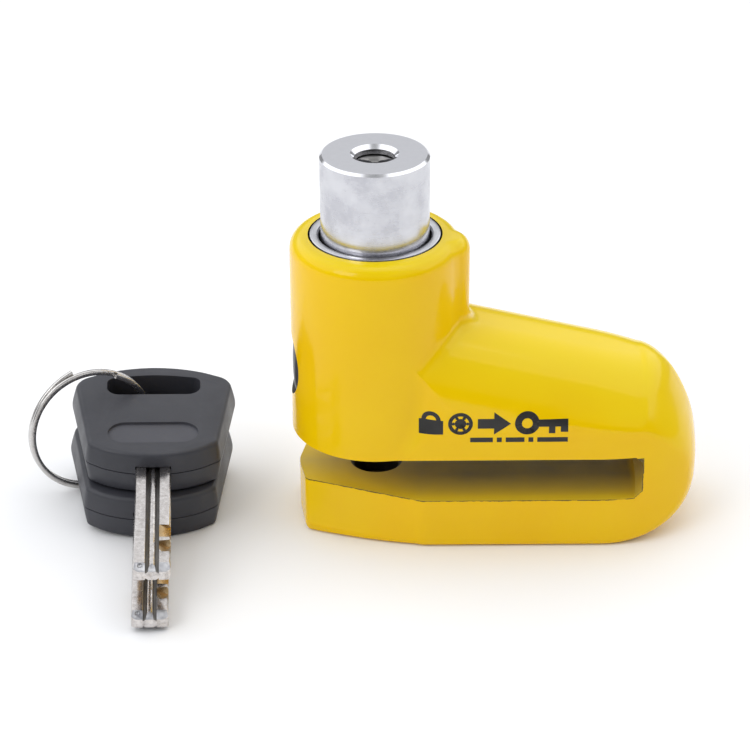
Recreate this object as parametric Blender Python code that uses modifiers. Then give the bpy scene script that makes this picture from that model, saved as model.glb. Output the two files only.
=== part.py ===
"""Motorcycle disc brake lock with a push-down plunger, and its two keys on a split ring.

Z runs up along the plunger, X from the plunger to the closed end of the disc slot, and Y across
the body. The origin is on the underside of the lower jaw, under the plunger.
"""

import math

import bmesh
import bpy
from mathutils import Euler, Matrix, Vector

MM = 0.001
FIT = 0.3 * MM  # gap between pieces that touch or slide on each other
PAST = 3.0 * MM  # how far a cutter runs past the face it opens

# Housing
TOWER_R = 17.35 * MM
TOWER_DRAFT = 0.25 * MM
TOWER_TOP = 63.9 * MM
RIM_ROUND = 3.0 * MM
RIB_REACH = 1.6 * MM
RIB_HALF = 7.3 * MM
RIB_LOW = 30.0 * MM
BODY_HALF = 17.3 * MM
BODY_START = 1.0 * MM
BODY_TOP_START = 49.5 * MM
BODY_SLOPE = 0.2348
BODY_ROUND = 8.5 * MM
BASE_ROUND = 1.2 * MM
HEEL_X = 67.5 * MM
HEEL_TOP_RUN = 12.0 * MM
HEEL_BASE_RUN = 17.5 * MM
HEEL_SIDE_RUN = 22.5 * MM
HEEL_LOW = 14.0 * MM
HEEL_HIGH = 17.0 * MM
HEEL_HALF = 6.5 * MM
JAW_THICK = 11.2 * MM
JAW_NOSE_X = -15.5 * MM
JAW_NOSE_HALF = 4.0 * MM
JAW_SHOULDER_X = 12.0 * MM

# Disc slot
SLOT_GAP = 9.6 * MM
SLOT_END_X = 55.8 * MM
SLOT_END_R = 105.0 * MM
SLOT_CHAMFER = 1.5 * MM
SLOT_TOP = JAW_THICK + SLOT_GAP

# Bores in the housing
CHAMBER_FLOOR_THICK = 2.5 * MM
SOCKET_DEPTH = 5.6 * MM
SLEEVE_WALL = 1.95 * MM
SLEEVE_PROUD = 0.2 * MM
SIDE_HOLE_R = 7.0 * MM
SIDE_HOLE_Z = 33.6 * MM
PLUG_DEPTH = 4.1 * MM
PLUG_DOME = 0.9 * MM

# Plunger
PLUNGER_R = 11.0 * MM
PLUNGER_TOP = 81.2 * MM
PLUNGER_WALL = 2.4 * MM
PLUNGER_CHAMFER = 0.4 * MM
FLANGE_STEP = 1.2 * MM
PIN_CLEAR = 0.5 * MM  # pin's tip above the slot at rest
PIN_ENTRY = 3.5 * MM  # how far the pin goes into the jaw
MOUTH_R = 4.1 * MM
MOUTH_CHAMFER = 0.8 * MM
MOUTH_DEPTH = 1.8 * MM

# Latch under the rotor
LATCH_HALF = 3.4 * MM
LATCH_TALL = 3.8 * MM
LATCH_ROOF = 2.1 * MM  # from the bolt's window to the top of the plunger's flange
LATCH_GAP = 2.6 * MM  # behind the bolt, for its travel and spring
CAM_ARM = 1.3 * MM
CAM_PIN_R = 1.0 * MM
CAM_START = math.radians(-45)
CARRIER_TALL = 7.6 * MM
CHANNEL_FLOOR = 3.4 * MM
SPRING_WIRE_R = 0.35 * MM
SPRING_WALL = 1.2 * MM
SPRING_GAP = 0.45 * MM
PIN_BOSS_WALL = 0.9 * MM
SPRING_TURNS = 4

# Rotor and disc stack
DRUM_WALL = 1.4 * MM
DRUM_FLOOR = 1.3 * MM
FACE_THICK = 1.9 * MM
DISC_COUNT = 8
DISC_THICK = 2.0 * MM
SPACER_THICK = 1.2 * MM
KEYWAY_WIDE = 7.8 * MM
KEYWAY_TALL = 4.3 * MM
SIDEBAR_HALF = 0.8 * MM
GATE_DEPTH = 1.3 * MM

# Anti-rotation key in the chamber wall
FEATHER_HALF = 1.35 * MM
FEATHER_LIFT = 1.7 * MM
FEATHER_TOP_GAP = 3.5 * MM
FEATHER_PROUD = 1.8 * MM

# Keys
HEAD_HALF_THICK = 4.75 * MM
HEAD_FRONT_HALF = 13.9 * MM
HEAD_FRONT_Y = 4.9 * MM
HEAD_BACK_HALF = 18.0 * MM
HEAD_BACK_Y = 29.3 * MM
HEAD_FRONT_R = 23.0 * MM
HEAD_BACK_R = 32.0 * MM
HEAD_BACK_CROWN = 34.7 * MM
EYE_FRONT_Y = 23.2 * MM
EYE_BACK_CROWN = 30.7 * MM
EYE_HALF = 10.0 * MM
LABEL_HALF = 9.45 * MM
LABEL_R = 3.75 * MM
LABEL_Y = 8.8 * MM
LABEL_DEPTH = 0.5 * MM
BLADE_HALF = 3.65 * MM
BLADE_HALF_THICK = 1.8 * MM
BLADE_REACH = 34.2 * MM
TANG = 13.0 * MM
RAIL_IN = 1.35 * MM
RIB_R = 0.8 * MM
GROOVE_WEB = 0.9 * MM
CUTS = ((-20.0 * MM, -23.9 * MM), (-25.0 * MM, -29.2 * MM))

# Where the keys and ring lie
KEY_PIVOT = Vector((-2.2 * MM, 27.0 * MM, 0.0))
KEY_TURN = Euler((math.radians(4.6), math.radians(2.2), math.radians(4.2)))
LOWER_KEY_FRONT = Vector((-47.0 * MM, -14.0 * MM, HEAD_HALF_THICK + 0.15 * MM))
UPPER_KEY_SHIFT = Vector((0.8 * MM, 1.7 * MM, 2 * HEAD_HALF_THICK + 0.48 * MM))
RING_SLACK = 3.75 * MM
RING_RADIAL = 1.25 * MM
RING_AXIAL = 0.85 * MM
RING_PITCH = 0.95 * MM
RING_LIFT = 0.7 * MM
RING_THROUGH = Vector((-51.673 * MM, 13.447 * MM, 0.0))
RING_YAW = math.radians(26)
RING_LEAN = math.radians(2)

ROUND_STEPS = 40
SMALL_STEPS = 20
SLOT_STEPS = 160

CHAMBER_FLOOR = SLOT_TOP + CHAMBER_FLOOR_THICK
TRAVEL = PIN_CLEAR + SLOT_GAP + PIN_ENTRY
BORE_R = PLUNGER_R + FIT + 0.05 * MM
SLEEVE_R = BORE_R + SLEEVE_WALL
FLANGE_R = PLUNGER_R + FLANGE_STEP
CHAMBER_R = FLANGE_R + FIT + 0.1 * MM
CAVITY_R = PLUNGER_R - PLUNGER_WALL
SKIRT_LOW = CHAMBER_FLOOR + TRAVEL + 0.4 * MM
CARRIER_R = CAVITY_R - FIT
SPRING_R = CARRIER_R - SPRING_WALL - FIT - SPRING_WIRE_R
PIN_BOSS_R = SPRING_R - SPRING_WIRE_R - SPRING_GAP
PIN_R = PIN_BOSS_R - PIN_BOSS_WALL - FIT
FEATHER_LOW = CHAMBER_FLOOR + FEATHER_LIFT
CARRIER_LOW = SKIRT_LOW + 0.3 * MM
LATCH_LOW = CARRIER_LOW + CHANNEL_FLOOR + 0.1 * MM
LATCH_Z = LATCH_LOW + LATCH_TALL / 2
SLEEVE_LEDGE = LATCH_LOW + LATCH_TALL + LATCH_ROOF
FLANGE_TOP = SLEEVE_LEDGE - 0.1 * MM
FEATHER_TOP = SLEEVE_LEDGE - FEATHER_TOP_GAP
PIN_TIP = SLOT_TOP + PIN_CLEAR
DRUM_LOW = CARRIER_LOW + CARRIER_TALL + FIT
CAVITY_TOP = PLUNGER_TOP - MOUTH_DEPTH
DRUM_TOP = CAVITY_TOP - FIT
DRUM_R = CARRIER_R
STACK_R = DRUM_R - DRUM_WALL - FIT
STACK_LOW = DRUM_LOW + DRUM_FLOOR + FIT
FACE_LOW = DRUM_TOP - FACE_THICK
SLEEVE_LOW = SLEEVE_LEDGE + FIT
SLEEVE_TOP = TOWER_TOP + SLEEVE_PROUD
RING_R = 2 * HEAD_HALF_THICK + RING_SLACK
RING_CENTRE = RING_THROUGH + Vector((0.0, 0.0, RING_R + RING_LIFT))
RING_CENTRE -= Matrix.Rotation(RING_YAW, 3, "Z") @ Vector((0.8 * RING_R, 0.0, 0.0))


def clear_scene():
    """Remove what the startup file holds."""
    for obj in list(bpy.data.objects):
        bpy.data.objects.remove(obj, do_unlink=True)


def new_collection(name):
    """Return a new collection in the scene."""
    made = bpy.data.collections.new(name)
    bpy.context.scene.collection.children.link(made)
    return made


def new_material(name, colour, roughness, metallic):
    """Return a material with a Principled BSDF."""
    made = bpy.data.materials.new(name)
    made.use_nodes = True
    shader = made.node_tree.nodes["Principled BSDF"]
    shader.inputs["Base Color"].default_value = (*colour, 1.0)
    shader.inputs["Roughness"].default_value = roughness
    shader.inputs["Metallic"].default_value = metallic
    return made


clear_scene()
PARTS = new_collection("disc_brake_lock")
CUTTERS = new_collection("cutters")
YELLOW = new_material("yellow_enamel", (0.79, 0.50, 0.0), 0.25, 0.0)
CHROME = new_material("satin_chrome", (0.72, 0.72, 0.72), 0.2, 1.0)
STEEL = new_material("hardened_steel", (0.45, 0.45, 0.47), 0.35, 1.0)
BLACK = new_material("black_plastic", (0.02, 0.02, 0.02), 0.35, 0.0)
GRAPHITE = new_material("graphite_plastic", (0.06, 0.06, 0.075), 0.6, 0.0)
BRASS = new_material("brass", (0.75, 0.56, 0.25), 0.35, 1.0)
NICKEL = new_material("nickel_silver", (0.75, 0.73, 0.7), 0.3, 1.0)


def add_object(name, mesh, material=None, parent=None):
    """Put a mesh in the parts, or among the cutters where it has no material."""
    obj = bpy.data.objects.new(name, mesh)
    if material is None:
        CUTTERS.objects.link(obj)
        obj.hide_render = True
        obj.display_type = "WIRE"
        return obj
    PARTS.objects.link(obj)
    obj.parent = parent
    mesh.materials.append(material)
    return obj


def from_bmesh(name, bm, material=None, parent=None):
    """Turn a bmesh into an object, smooth but for its sharp edges."""
    mesh = bpy.data.meshes.new(name)
    bm.to_mesh(mesh)
    bm.free()
    mesh.shade_smooth()
    mesh.set_sharp_from_angle(angle=math.radians(35))
    return add_object(name, mesh, material, parent)


def turned(name, profile, material=None, parent=None, steps=ROUND_STEPS, ring=False):
    """Return a turned piece. Its (radius, height) profile runs down the outer side."""
    mesh = bpy.data.meshes.new(name)
    edges = [(i, i + 1) for i in range(len(profile) - 1)]
    if ring:
        edges.append((len(profile) - 1, 0))
    mesh.from_pydata([(radius, 0.0, height) for radius, height in profile], edges, [])
    obj = add_object(name, mesh, material, parent)
    screw = obj.modifiers.new("turn", "SCREW")
    screw.steps = screw.render_steps = steps
    screw.use_merge_vertices = True
    screw.merge_threshold = 0.000001
    screw.use_smooth_shade = True
    return obj


def cylinder(name, radius, low, high, material=None, parent=None, steps=SMALL_STEPS):
    """Return an upright cylinder on the Z axis."""
    profile = [(0.0, high), (radius, high), (radius, low), (0.0, low)]
    return turned(name, profile, material, parent, steps)


def box(name, low, high, material=None, parent=None):
    """Return a box between two corners."""
    low, high = Vector(low), Vector(high)
    bm = bmesh.new()
    bmesh.ops.create_cube(bm, size=1.0)
    bmesh.ops.scale(bm, vec=high - low, verts=bm.verts)
    bmesh.ops.translate(bm, vec=(low + high) / 2, verts=bm.verts)
    return from_bmesh(name, bm, material, parent)


def slab(name, outline, low, high, material=None, parent=None):
    """Return a flat outline in X and Y, made solid from height low to height high."""
    curve = bpy.data.curves.new(name + "_outline", "CURVE")
    curve.dimensions = "2D"
    curve.fill_mode = "BOTH"
    curve.extrude = (high - low) / 2
    spline = curve.splines.new("POLY")
    spline.points.add(len(outline) - 1)
    for point, (x, y) in zip(spline.points, outline):
        point.co = (x, y, 0.0, 1.0)
    spline.use_cyclic_u = True
    drawn = bpy.data.objects.new(name + "_outline", curve)
    CUTTERS.objects.link(drawn)
    drawn.location.z = (low + high) / 2
    bpy.context.view_layer.update()
    made = drawn.evaluated_get(bpy.context.evaluated_depsgraph_get())
    mesh = bpy.data.meshes.new_from_object(made)
    bm = bmesh.new()
    bm.from_mesh(mesh)
    bmesh.ops.remove_doubles(bm, verts=bm.verts, dist=0.000001)
    bmesh.ops.transform(bm, matrix=drawn.matrix_world, verts=bm.verts)
    bmesh.ops.recalc_face_normals(bm, faces=bm.faces)
    bpy.data.objects.remove(drawn)
    bpy.data.meshes.remove(mesh)
    return from_bmesh(name, bm, material, parent)


def boolean(target, tool, operation="DIFFERENCE"):
    """Cut, join or intersect target with tool, and return target."""
    modifier = target.modifiers.new(tool.name, "BOOLEAN")
    modifier.operation = operation
    modifier.solver = "EXACT"
    modifier.object = tool
    return target


def reorient(obj, matrix):
    """Turn or move an object's mesh about the origin."""
    obj.data.transform(matrix)
    return obj


def arc(centre, radius, start, end, count):
    """Return count + 1 points along an arc, with angles in radians."""
    angles = [start + (end - start) * i / count for i in range(count + 1)]
    return [
        (centre[0] + radius * math.cos(angle), centre[1] + radius * math.sin(angle))
        for angle in angles
    ]


def fillet(before, corner, after, radius, count=3):
    """Return the points that round a corner between two straight sides."""
    corner = Vector(corner)
    first = (Vector(before) - corner).normalized()
    second = (Vector(after) - corner).normalized()
    half = first.angle(second) / 2
    reach = radius / math.tan(half)
    centre = corner + (first + second).normalized() * (radius / math.sin(half))
    start = corner + first * reach - centre
    turn = start.angle_signed(corner + second * reach - centre)
    return [
        tuple(centre + Matrix.Rotation(-turn * i / count, 2) @ start)
        for i in range(count + 1)
    ]


def body_section(x):
    """Return the closed section of the long body at x, as (y, z) points."""
    top = BODY_TOP_START - BODY_SLOPE * (x - BODY_START)
    top_end = HEEL_X - HEEL_TOP_RUN
    if x > top_end:
        at_end = BODY_TOP_START - BODY_SLOPE * (top_end - BODY_START)
        share = (x - top_end) / HEEL_TOP_RUN
        top = HEEL_HIGH + (at_end - HEEL_HIGH) * math.sqrt(1 - share * share)
    share = max(0.0, (x - HEEL_X + HEEL_BASE_RUN) / HEEL_BASE_RUN)
    base = HEEL_LOW * (1 - math.sqrt(1 - share * share))
    share = max(0.0, (x - HEEL_X + HEEL_SIDE_RUN) / HEEL_SIDE_RUN)
    half = HEEL_HALF + (BODY_HALF - HEEL_HALF) * math.sqrt(1 - share * share)
    if x < JAW_SHOULDER_X:
        base = (JAW_THICK + SLOT_TOP) / 2
    room = (top - base) * 0.48
    upper = min(BODY_ROUND, room, half * 0.9)
    lower = min(BASE_ROUND + base * 0.5 * (x > JAW_SHOULDER_X), room)
    right = arc((half - lower, base + lower), lower, -math.pi / 2, 0.0, 2)
    right += arc((half - upper, top - upper), upper, 0.0, math.pi / 2, 5)
    return right + [(-y, z) for y, z in reversed(right)]


def long_body():
    """Return the body from the tower to the heel, lofted through its sections."""
    heel = [HEEL_X - HEEL_SIDE_RUN * (1 - math.sin(math.radians(a))) for a in range(0, 91, 10)]
    step = JAW_SHOULDER_X
    stations = [BODY_START, step - 0.01 * MM, step, *heel]
    bm = bmesh.new()
    loops = []
    for x in stations:
        ring = [bm.verts.new((x, y, z)) for y, z in body_section(x)]
        loops.append([bm.edges.new((a, b)) for a, b in zip(ring, ring[1:] + ring[:1])])
    for first, second in zip(loops, loops[1:]):
        bmesh.ops.bridge_loops(bm, edges=first + second)
    bmesh.ops.holes_fill(bm, edges=[*loops[0], *loops[-1]], sides=0)
    bmesh.ops.recalc_face_normals(bm, faces=bm.faces)
    return from_bmesh("long_body", bm)


def tower():
    """Return the upright part that holds the plunger."""
    centre = (TOWER_R - RIM_ROUND, TOWER_TOP - RIM_ROUND)
    rim = arc(centre, RIM_ROUND, math.pi / 2, 0.0, 4)
    low = (JAW_THICK + SLOT_TOP) / 2
    profile = [(0.0, TOWER_TOP), *rim, (TOWER_R + TOWER_DRAFT, low), (0.0, low)]
    return turned("tower", profile, steps=48)


def tower_rib():
    """Return the thick stretch of the tower's wall that holds the latch pocket."""
    reach = TOWER_R + RIB_REACH
    outline = [(PLUNGER_R, -RIB_HALF)]
    outline += arc((reach - RIM_ROUND, RIM_ROUND - RIB_HALF), RIM_ROUND, -math.pi / 2, 0.0, 3)
    outline += arc((reach - RIM_ROUND, RIB_HALF - RIM_ROUND), RIM_ROUND, 0.0, math.pi / 2, 3)
    outline.append((PLUNGER_R, RIB_HALF))
    rib = slab("tower_rib", outline, RIB_LOW, TOWER_TOP - 0.05 * MM)
    bevel = rib.modifiers.new("round", "BEVEL")
    bevel.width = RIM_ROUND * 0.8
    bevel.segments = 2
    bevel.limit_method = "ANGLE"
    bevel.angle_limit = math.radians(60)
    return rib


def lower_jaw():
    """Return the wedge-nosed jaw under the disc slot."""
    half = BODY_HALF - 0.05 * MM
    side = [(20.0 * MM, half), (JAW_SHOULDER_X, half), (5.0 * MM, 16.4 * MM), (-5.5 * MM, 13.0 * MM)]
    corner = (-14.4 * MM, 9.4 * MM)
    side += fillet(side[-1], corner, (JAW_NOSE_X, JAW_NOSE_HALF), 3.0 * MM)
    side.append((JAW_NOSE_X, JAW_NOSE_HALF * 0.4))
    outline = side + [(x, -y) for x, y in reversed(side)]
    jaw = slab("lower_jaw", outline, 0.0, JAW_THICK + SLOT_GAP * 0.3)
    bevel = jaw.modifiers.new("round", "BEVEL")
    bevel.width = BASE_ROUND
    bevel.segments = 2
    bevel.limit_method = "ANGLE"
    bevel.angle_limit = math.radians(60)
    return jaw


def disc_slot():
    """Return the cutter of the slot, whose end follows the brake disc's edge."""
    flat = SLOT_END_R - SLOT_CHAMFER
    profile = [
        (0.0, SLOT_TOP),
        (flat, SLOT_TOP),
        (SLOT_END_R, SLOT_TOP - SLOT_CHAMFER),
        (SLOT_END_R, JAW_THICK + SLOT_CHAMFER),
        (flat, JAW_THICK),
        (0.0, JAW_THICK),
    ]
    cutter = turned("disc_slot", profile, steps=SLOT_STEPS)
    cutter.location.x = SLOT_END_X - SLOT_END_R
    return cutter


def housing_bores():
    """Return the stepped cutter of the sleeve seat, the spring chamber and the pin's way out."""
    pin_hole = PIN_R + FIT
    profile = [
        (0.0, TOWER_TOP + PAST),
        (SLEEVE_R + FIT, TOWER_TOP + PAST),
        (SLEEVE_R + FIT, SLEEVE_LEDGE),
        (CHAMBER_R, SLEEVE_LEDGE),
        (CHAMBER_R, CHAMBER_FLOOR),
        (pin_hole, CHAMBER_FLOOR),
        (pin_hole, SLOT_TOP - PAST),
        (0.0, SLOT_TOP - PAST),
    ]
    return turned("housing_bores", profile)


def feather_groove():
    """Return the cutter of the groove that holds the anti-rotation key."""
    half = FEATHER_HALF + FIT
    low = (-half, CHAMBER_R - FIT, FEATHER_LOW - FIT)
    high = (half, CHAMBER_R + FEATHER_PROUD, FEATHER_TOP + FIT)
    return box("feather_groove", low, high)


def latch_pocket():
    """Return the cutter of the pocket that the latch springs into when the plunger is down."""
    half = LATCH_HALF + FIT
    middle = LATCH_Z - TRAVEL
    tall = LATCH_TALL / 2 + 2 * FIT
    return box(
        "latch_pocket",
        (CHAMBER_R - 1.0 * MM, -half, middle - tall),
        (CHAMBER_R + 2.2 * MM, half, middle + tall),
    )


def make_housing():
    """Make the housing and what is fixed in it."""
    body = long_body()
    CUTTERS.objects.unlink(body)
    PARTS.objects.link(body)
    body.name = "lock_body"
    body.hide_render = False
    body.display_type = "TEXTURED"
    body.data.materials.append(YELLOW)
    for piece in (tower(), tower_rib(), lower_jaw()):
        boolean(body, piece, "UNION")
    socket = cylinder("pin_socket", PIN_R + FIT, JAW_THICK - SOCKET_DEPTH, SLOT_TOP)
    side_hole = cylinder("side_hole", SIDE_HOLE_R, PLUNGER_R, TOWER_R + PAST, steps=32)
    side_hole.rotation_euler.y = -math.pi / 2
    side_hole.location.z = SIDE_HOLE_Z
    for cutter in (disc_slot(), housing_bores(), feather_groove(), latch_pocket(), socket, side_hole):
        boolean(body, cutter)

    bore_edge = 0.35 * MM
    turned(
        "guide_sleeve",
        [
            (BORE_R, SLEEVE_TOP - bore_edge),
            (BORE_R + bore_edge, SLEEVE_TOP),
            (SLEEVE_R - bore_edge, SLEEVE_TOP),
            (SLEEVE_R, SLEEVE_TOP - bore_edge),
            (SLEEVE_R, SLEEVE_LOW),
            (BORE_R, SLEEVE_LOW),
        ],
        CHROME,
        ring=True,
    )
    plug_r = SIDE_HOLE_R - FIT
    crown = TOWER_R - 0.1 * MM
    dome = [(plug_r * math.sin(a), crown - PLUG_DOME * (1 - math.cos(a))) for a in (0.0, 0.5, 1.0)]
    plug = turned(
        "side_plug",
        [*dome, (plug_r, crown - PLUG_DOME), (plug_r, crown - PLUG_DEPTH), (0.0, crown - PLUG_DEPTH)],
        BLACK,
        steps=32,
    )
    plug.rotation_euler.y = -math.pi / 2
    plug.location.z = SIDE_HOLE_Z
    box(
        "feather_key",
        (-FEATHER_HALF, PLUNGER_R + FIT, FEATHER_LOW),
        (FEATHER_HALF, CHAMBER_R + FEATHER_PROUD - FIT, FEATHER_TOP),
        STEEL,
    )
    make_coil("return_spring", SPRING_R, SPRING_WIRE_R, CHAMBER_FLOOR + FIT, spring_seat(), SPRING_TURNS)


def spring_seat():
    """Return the height of the seat that the return spring pushes on."""
    return CARRIER_LOW + CHANNEL_FLOOR - 1.0 * MM


def make_coil(name, radius, wire, low, high, turns, parent=None):
    """Make a wire coil on the Z axis between two heights."""
    per_turn = 12
    curve = bpy.data.curves.new(name, "CURVE")
    curve.dimensions = "3D"
    curve.bevel_depth = wire
    curve.bevel_resolution = 2
    curve.use_fill_caps = True
    spline = curve.splines.new("POLY")
    count = turns * per_turn
    spline.points.add(count)
    rise = high - low - 2 * (wire + FIT)
    for i, point in enumerate(spline.points):
        angle = 2 * math.pi * i / per_turn
        height = low + wire + FIT + rise * i / count
        point.co = (radius * math.cos(angle), radius * math.sin(angle), height, 1.0)
    obj = bpy.data.objects.new(name, curve)
    PARTS.objects.link(obj)
    obj.parent = parent
    curve.materials.append(STEEL)
    return obj


def make_plunger():
    """Make the plunger's shell, the carrier screwed into its foot, and the lock pin."""
    cap = PLUNGER_TOP - PLUNGER_CHAMFER
    shell = turned(
        "plunger_shell",
        [
            (MOUTH_R + MOUTH_CHAMFER, PLUNGER_TOP),
            (PLUNGER_R - PLUNGER_CHAMFER, PLUNGER_TOP),
            (PLUNGER_R, cap),
            (PLUNGER_R, FLANGE_TOP),
            (FLANGE_R, FLANGE_TOP),
            (FLANGE_R, SKIRT_LOW),
            (CAVITY_R, SKIRT_LOW),
            (CAVITY_R, CAVITY_TOP),
            (MOUTH_R, CAVITY_TOP),
            (MOUTH_R, PLUNGER_TOP - MOUTH_CHAMFER),
        ],
        CHROME,
        ring=True,
    )
    notch = FEATHER_HALF + FIT
    boolean(
        shell,
        box(
            "feather_notch",
            (-notch, PLUNGER_R - 0.05 * MM, SKIRT_LOW - PAST),
            (notch, FLANGE_R + PAST, FLANGE_TOP + PAST),
        ),
    )
    window = LATCH_HALF + FIT
    boolean(
        shell,
        box(
            "latch_window",
            (CAVITY_R - 1.0 * MM, -window, LATCH_LOW - FIT),
            (FLANGE_R + PAST, window, LATCH_LOW + LATCH_TALL + FIT),
        ),
    )

    seat_high = spring_seat()
    top = CARRIER_LOW + CARRIER_TALL
    pin_bore = PIN_R + FIT
    boss = PIN_BOSS_R
    carrier = turned(
        "pin_carrier",
        [
            (0.0, top),
            (CARRIER_R, top),
            (CARRIER_R, CARRIER_LOW),
            (SPRING_R + SPRING_WIRE_R + FIT, CARRIER_LOW),
            (SPRING_R + SPRING_WIRE_R + FIT, seat_high),
            (boss, seat_high),
            (boss, CARRIER_LOW),
            (pin_bore, CARRIER_LOW),
            (pin_bore, CARRIER_LOW + CHANNEL_FLOOR - 0.2 * MM),
            (0.0, CARRIER_LOW + CHANNEL_FLOOR - 0.2 * MM),
        ],
        STEEL,
    )
    channel_floor = CARRIER_LOW + CHANNEL_FLOOR - FIT
    boolean(
        carrier,
        box(
            "latch_channel",
            (-CARRIER_R - PAST, -window, channel_floor),
            (CARRIER_R + PAST, window, top + PAST),
        ),
    )
    cross_z = CARRIER_LOW + 1.5 * MM
    cross_r = 0.8 * MM
    cross_hole = side_pin("cross_hole", cross_r + FIT / 2, boss + FIT, cross_z)
    boolean(carrier, cross_hole)

    pin_top = CARRIER_LOW + CHANNEL_FLOOR - 2 * FIT
    point = 1.0 * MM
    pin = turned(
        "lock_pin",
        [
            (0.0, pin_top),
            (PIN_R, pin_top),
            (PIN_R, PIN_TIP + point),
            (PIN_R - point, PIN_TIP),
            (0.0, PIN_TIP),
        ],
        STEEL,
        steps=32,
    )
    boolean(pin, cross_hole)
    side_pin("cross_pin", cross_r, boss, cross_z, STEEL)


def side_pin(name, radius, half, height, material=None):
    """Return a pin along Y, centred on the Z axis."""
    pin = cylinder(name, radius, -half, half, material, steps=12)
    pin.rotation_euler.x = math.pi / 2
    pin.location.z = height
    return pin


def make_latch():
    """Make the latch bolt that the rotor's cam pin draws in, and the spring behind it."""
    nose = PLUNGER_R - 0.15 * MM
    tail = LATCH_GAP - CAVITY_R
    bolt = box(
        "latch_bolt",
        (tail, -LATCH_HALF, LATCH_LOW),
        (nose, LATCH_HALF, LATCH_LOW + LATCH_TALL),
        STEEL,
    )
    pin_x = CAM_ARM * math.cos(CAM_START)
    room = CAM_PIN_R + FIT
    boolean(
        bolt,
        box(
            "cam_slot",
            (pin_x - room, -CAM_ARM - room - 0.1 * MM, LATCH_LOW - PAST),
            (pin_x + room, 0.6 * MM, LATCH_LOW + LATCH_TALL + PAST),
        ),
    )
    coil_r = 0.9 * MM
    spring_hole = cylinder("latch_spring_hole", coil_r + 0.55 * MM, -PAST, 3.0 * MM, steps=12)
    spring_hole.rotation_euler.y = math.pi / 2
    spring_hole.location = (tail, 0.0, LATCH_Z)
    boolean(bolt, spring_hole)
    spring = make_coil("latch_spring", coil_r, 0.2 * MM, 0.0, 3.0 * MM, 3)
    spring.rotation_euler = (0.0, math.pi / 2, 0.0)
    spring.location = (-CAVITY_R + 0.1 * MM, 0.0, LATCH_Z)


def keyway_cutter():
    """Return the cutter of the keyway through the whole rotor."""
    half, tall = KEYWAY_WIDE / 2, KEYWAY_TALL / 2
    clip = 0.5 * MM
    outline = [
        (half, -tall + clip),
        (half, tall - clip),
        (half - clip, tall),
        (clip - half, tall),
        (-half, tall - clip),
        (-half, -tall + clip),
        (clip - half, -tall),
        (half - clip, -tall),
    ]
    return slab("keyway", outline, STACK_LOW - FIT / 2, DRUM_TOP + PAST)


def make_rotor():
    """Make the rotor, its face, and the detainer discs and spacers that the sidebar drops into."""
    inner = STACK_R + FIT
    drum = turned(
        "rotor_drum",
        [
            (inner, DRUM_TOP),
            (DRUM_R, DRUM_TOP),
            (DRUM_R, DRUM_LOW),
            (0.0, DRUM_LOW),
            (0.0, DRUM_LOW + DRUM_FLOOR),
            (inner, DRUM_LOW + DRUM_FLOOR),
        ],
        BRASS,
        steps=32,
        ring=True,
    )
    cam = cylinder("cam_pin", CAM_PIN_R, LATCH_LOW + 0.8 * MM, DRUM_LOW + DRUM_FLOOR / 2, steps=12)
    cam.location = (CAM_ARM * math.cos(CAM_START), CAM_ARM * math.sin(CAM_START), 0.0)
    boolean(drum, cam, "UNION")

    keyway = keyway_cutter()
    bar_low, bar_high = STACK_LOW + FIT, FACE_LOW - 2 * FIT
    gate = SIDEBAR_HALF + FIT
    gate_floor = STACK_R - GATE_DEPTH
    bar_slot = box(
        "sidebar_slot",
        (-gate, gate_floor, bar_low - FIT),
        (gate, DRUM_R + PAST, bar_high + FIT),
    )
    boolean(drum, bar_slot)
    box(
        "sidebar",
        (-SIDEBAR_HALF, gate_floor + FIT, bar_low),
        (SIDEBAR_HALF, DRUM_R - 0.1 * MM, bar_high),
        STEEL,
    )
    face = cylinder("rotor_face", STACK_R, FACE_LOW, DRUM_TOP, STEEL, steps=32)
    boolean(face, keyway)

    step = (FACE_LOW - FIT - STACK_LOW - DISC_THICK) / (DISC_COUNT - 1)
    for i in range(DISC_COUNT):
        low = STACK_LOW + step * i
        disc = cylinder(f"detainer_disc_{i + 1}", STACK_R, low, low + DISC_THICK, BRASS)
        boolean(disc, keyway)
        boolean(disc, bar_slot)
        if i == DISC_COUNT - 1:
            continue
        middle = low + DISC_THICK + (step - DISC_THICK) / 2
        spacer_low = middle - SPACER_THICK / 2
        spacer = turned(
            f"disc_spacer_{i + 1}",
            [
                (KEYWAY_WIDE / 2 + 0.7 * MM, spacer_low + SPACER_THICK),
                (STACK_R, spacer_low + SPACER_THICK),
                (STACK_R, spacer_low),
                (KEYWAY_WIDE / 2 + 0.7 * MM, spacer_low),
            ],
            STEEL,
            steps=SMALL_STEPS,
            ring=True,
        )
        boolean(spacer, bar_slot)


def head_outline():
    """Return the key head's outline at its parting line, with the front centre at the origin."""
    turn = math.asin(HEAD_FRONT_HALF * 0.85 / HEAD_FRONT_R)
    front = arc((0.0, HEAD_FRONT_R), HEAD_FRONT_R, -math.pi / 2, -math.pi / 2 + turn, 4)
    corner = (HEAD_FRONT_HALF, HEAD_FRONT_Y)
    shoulder = (HEAD_BACK_HALF, HEAD_BACK_Y)
    centre = (0.0, HEAD_BACK_CROWN - HEAD_BACK_R)
    turn = math.asin(HEAD_BACK_HALF * 0.72 / HEAD_BACK_R)
    back = arc(centre, HEAD_BACK_R, math.pi / 2 - turn, math.pi / 2, 4)
    right = front[:-1] + fillet(front[-1], corner, shoulder, 2.5 * MM)
    right += fillet(corner, shoulder, back[0], 4.5 * MM, 4) + back[1:]
    return right + [(-x, y) for x, y in reversed(right[1:-1])]


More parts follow.
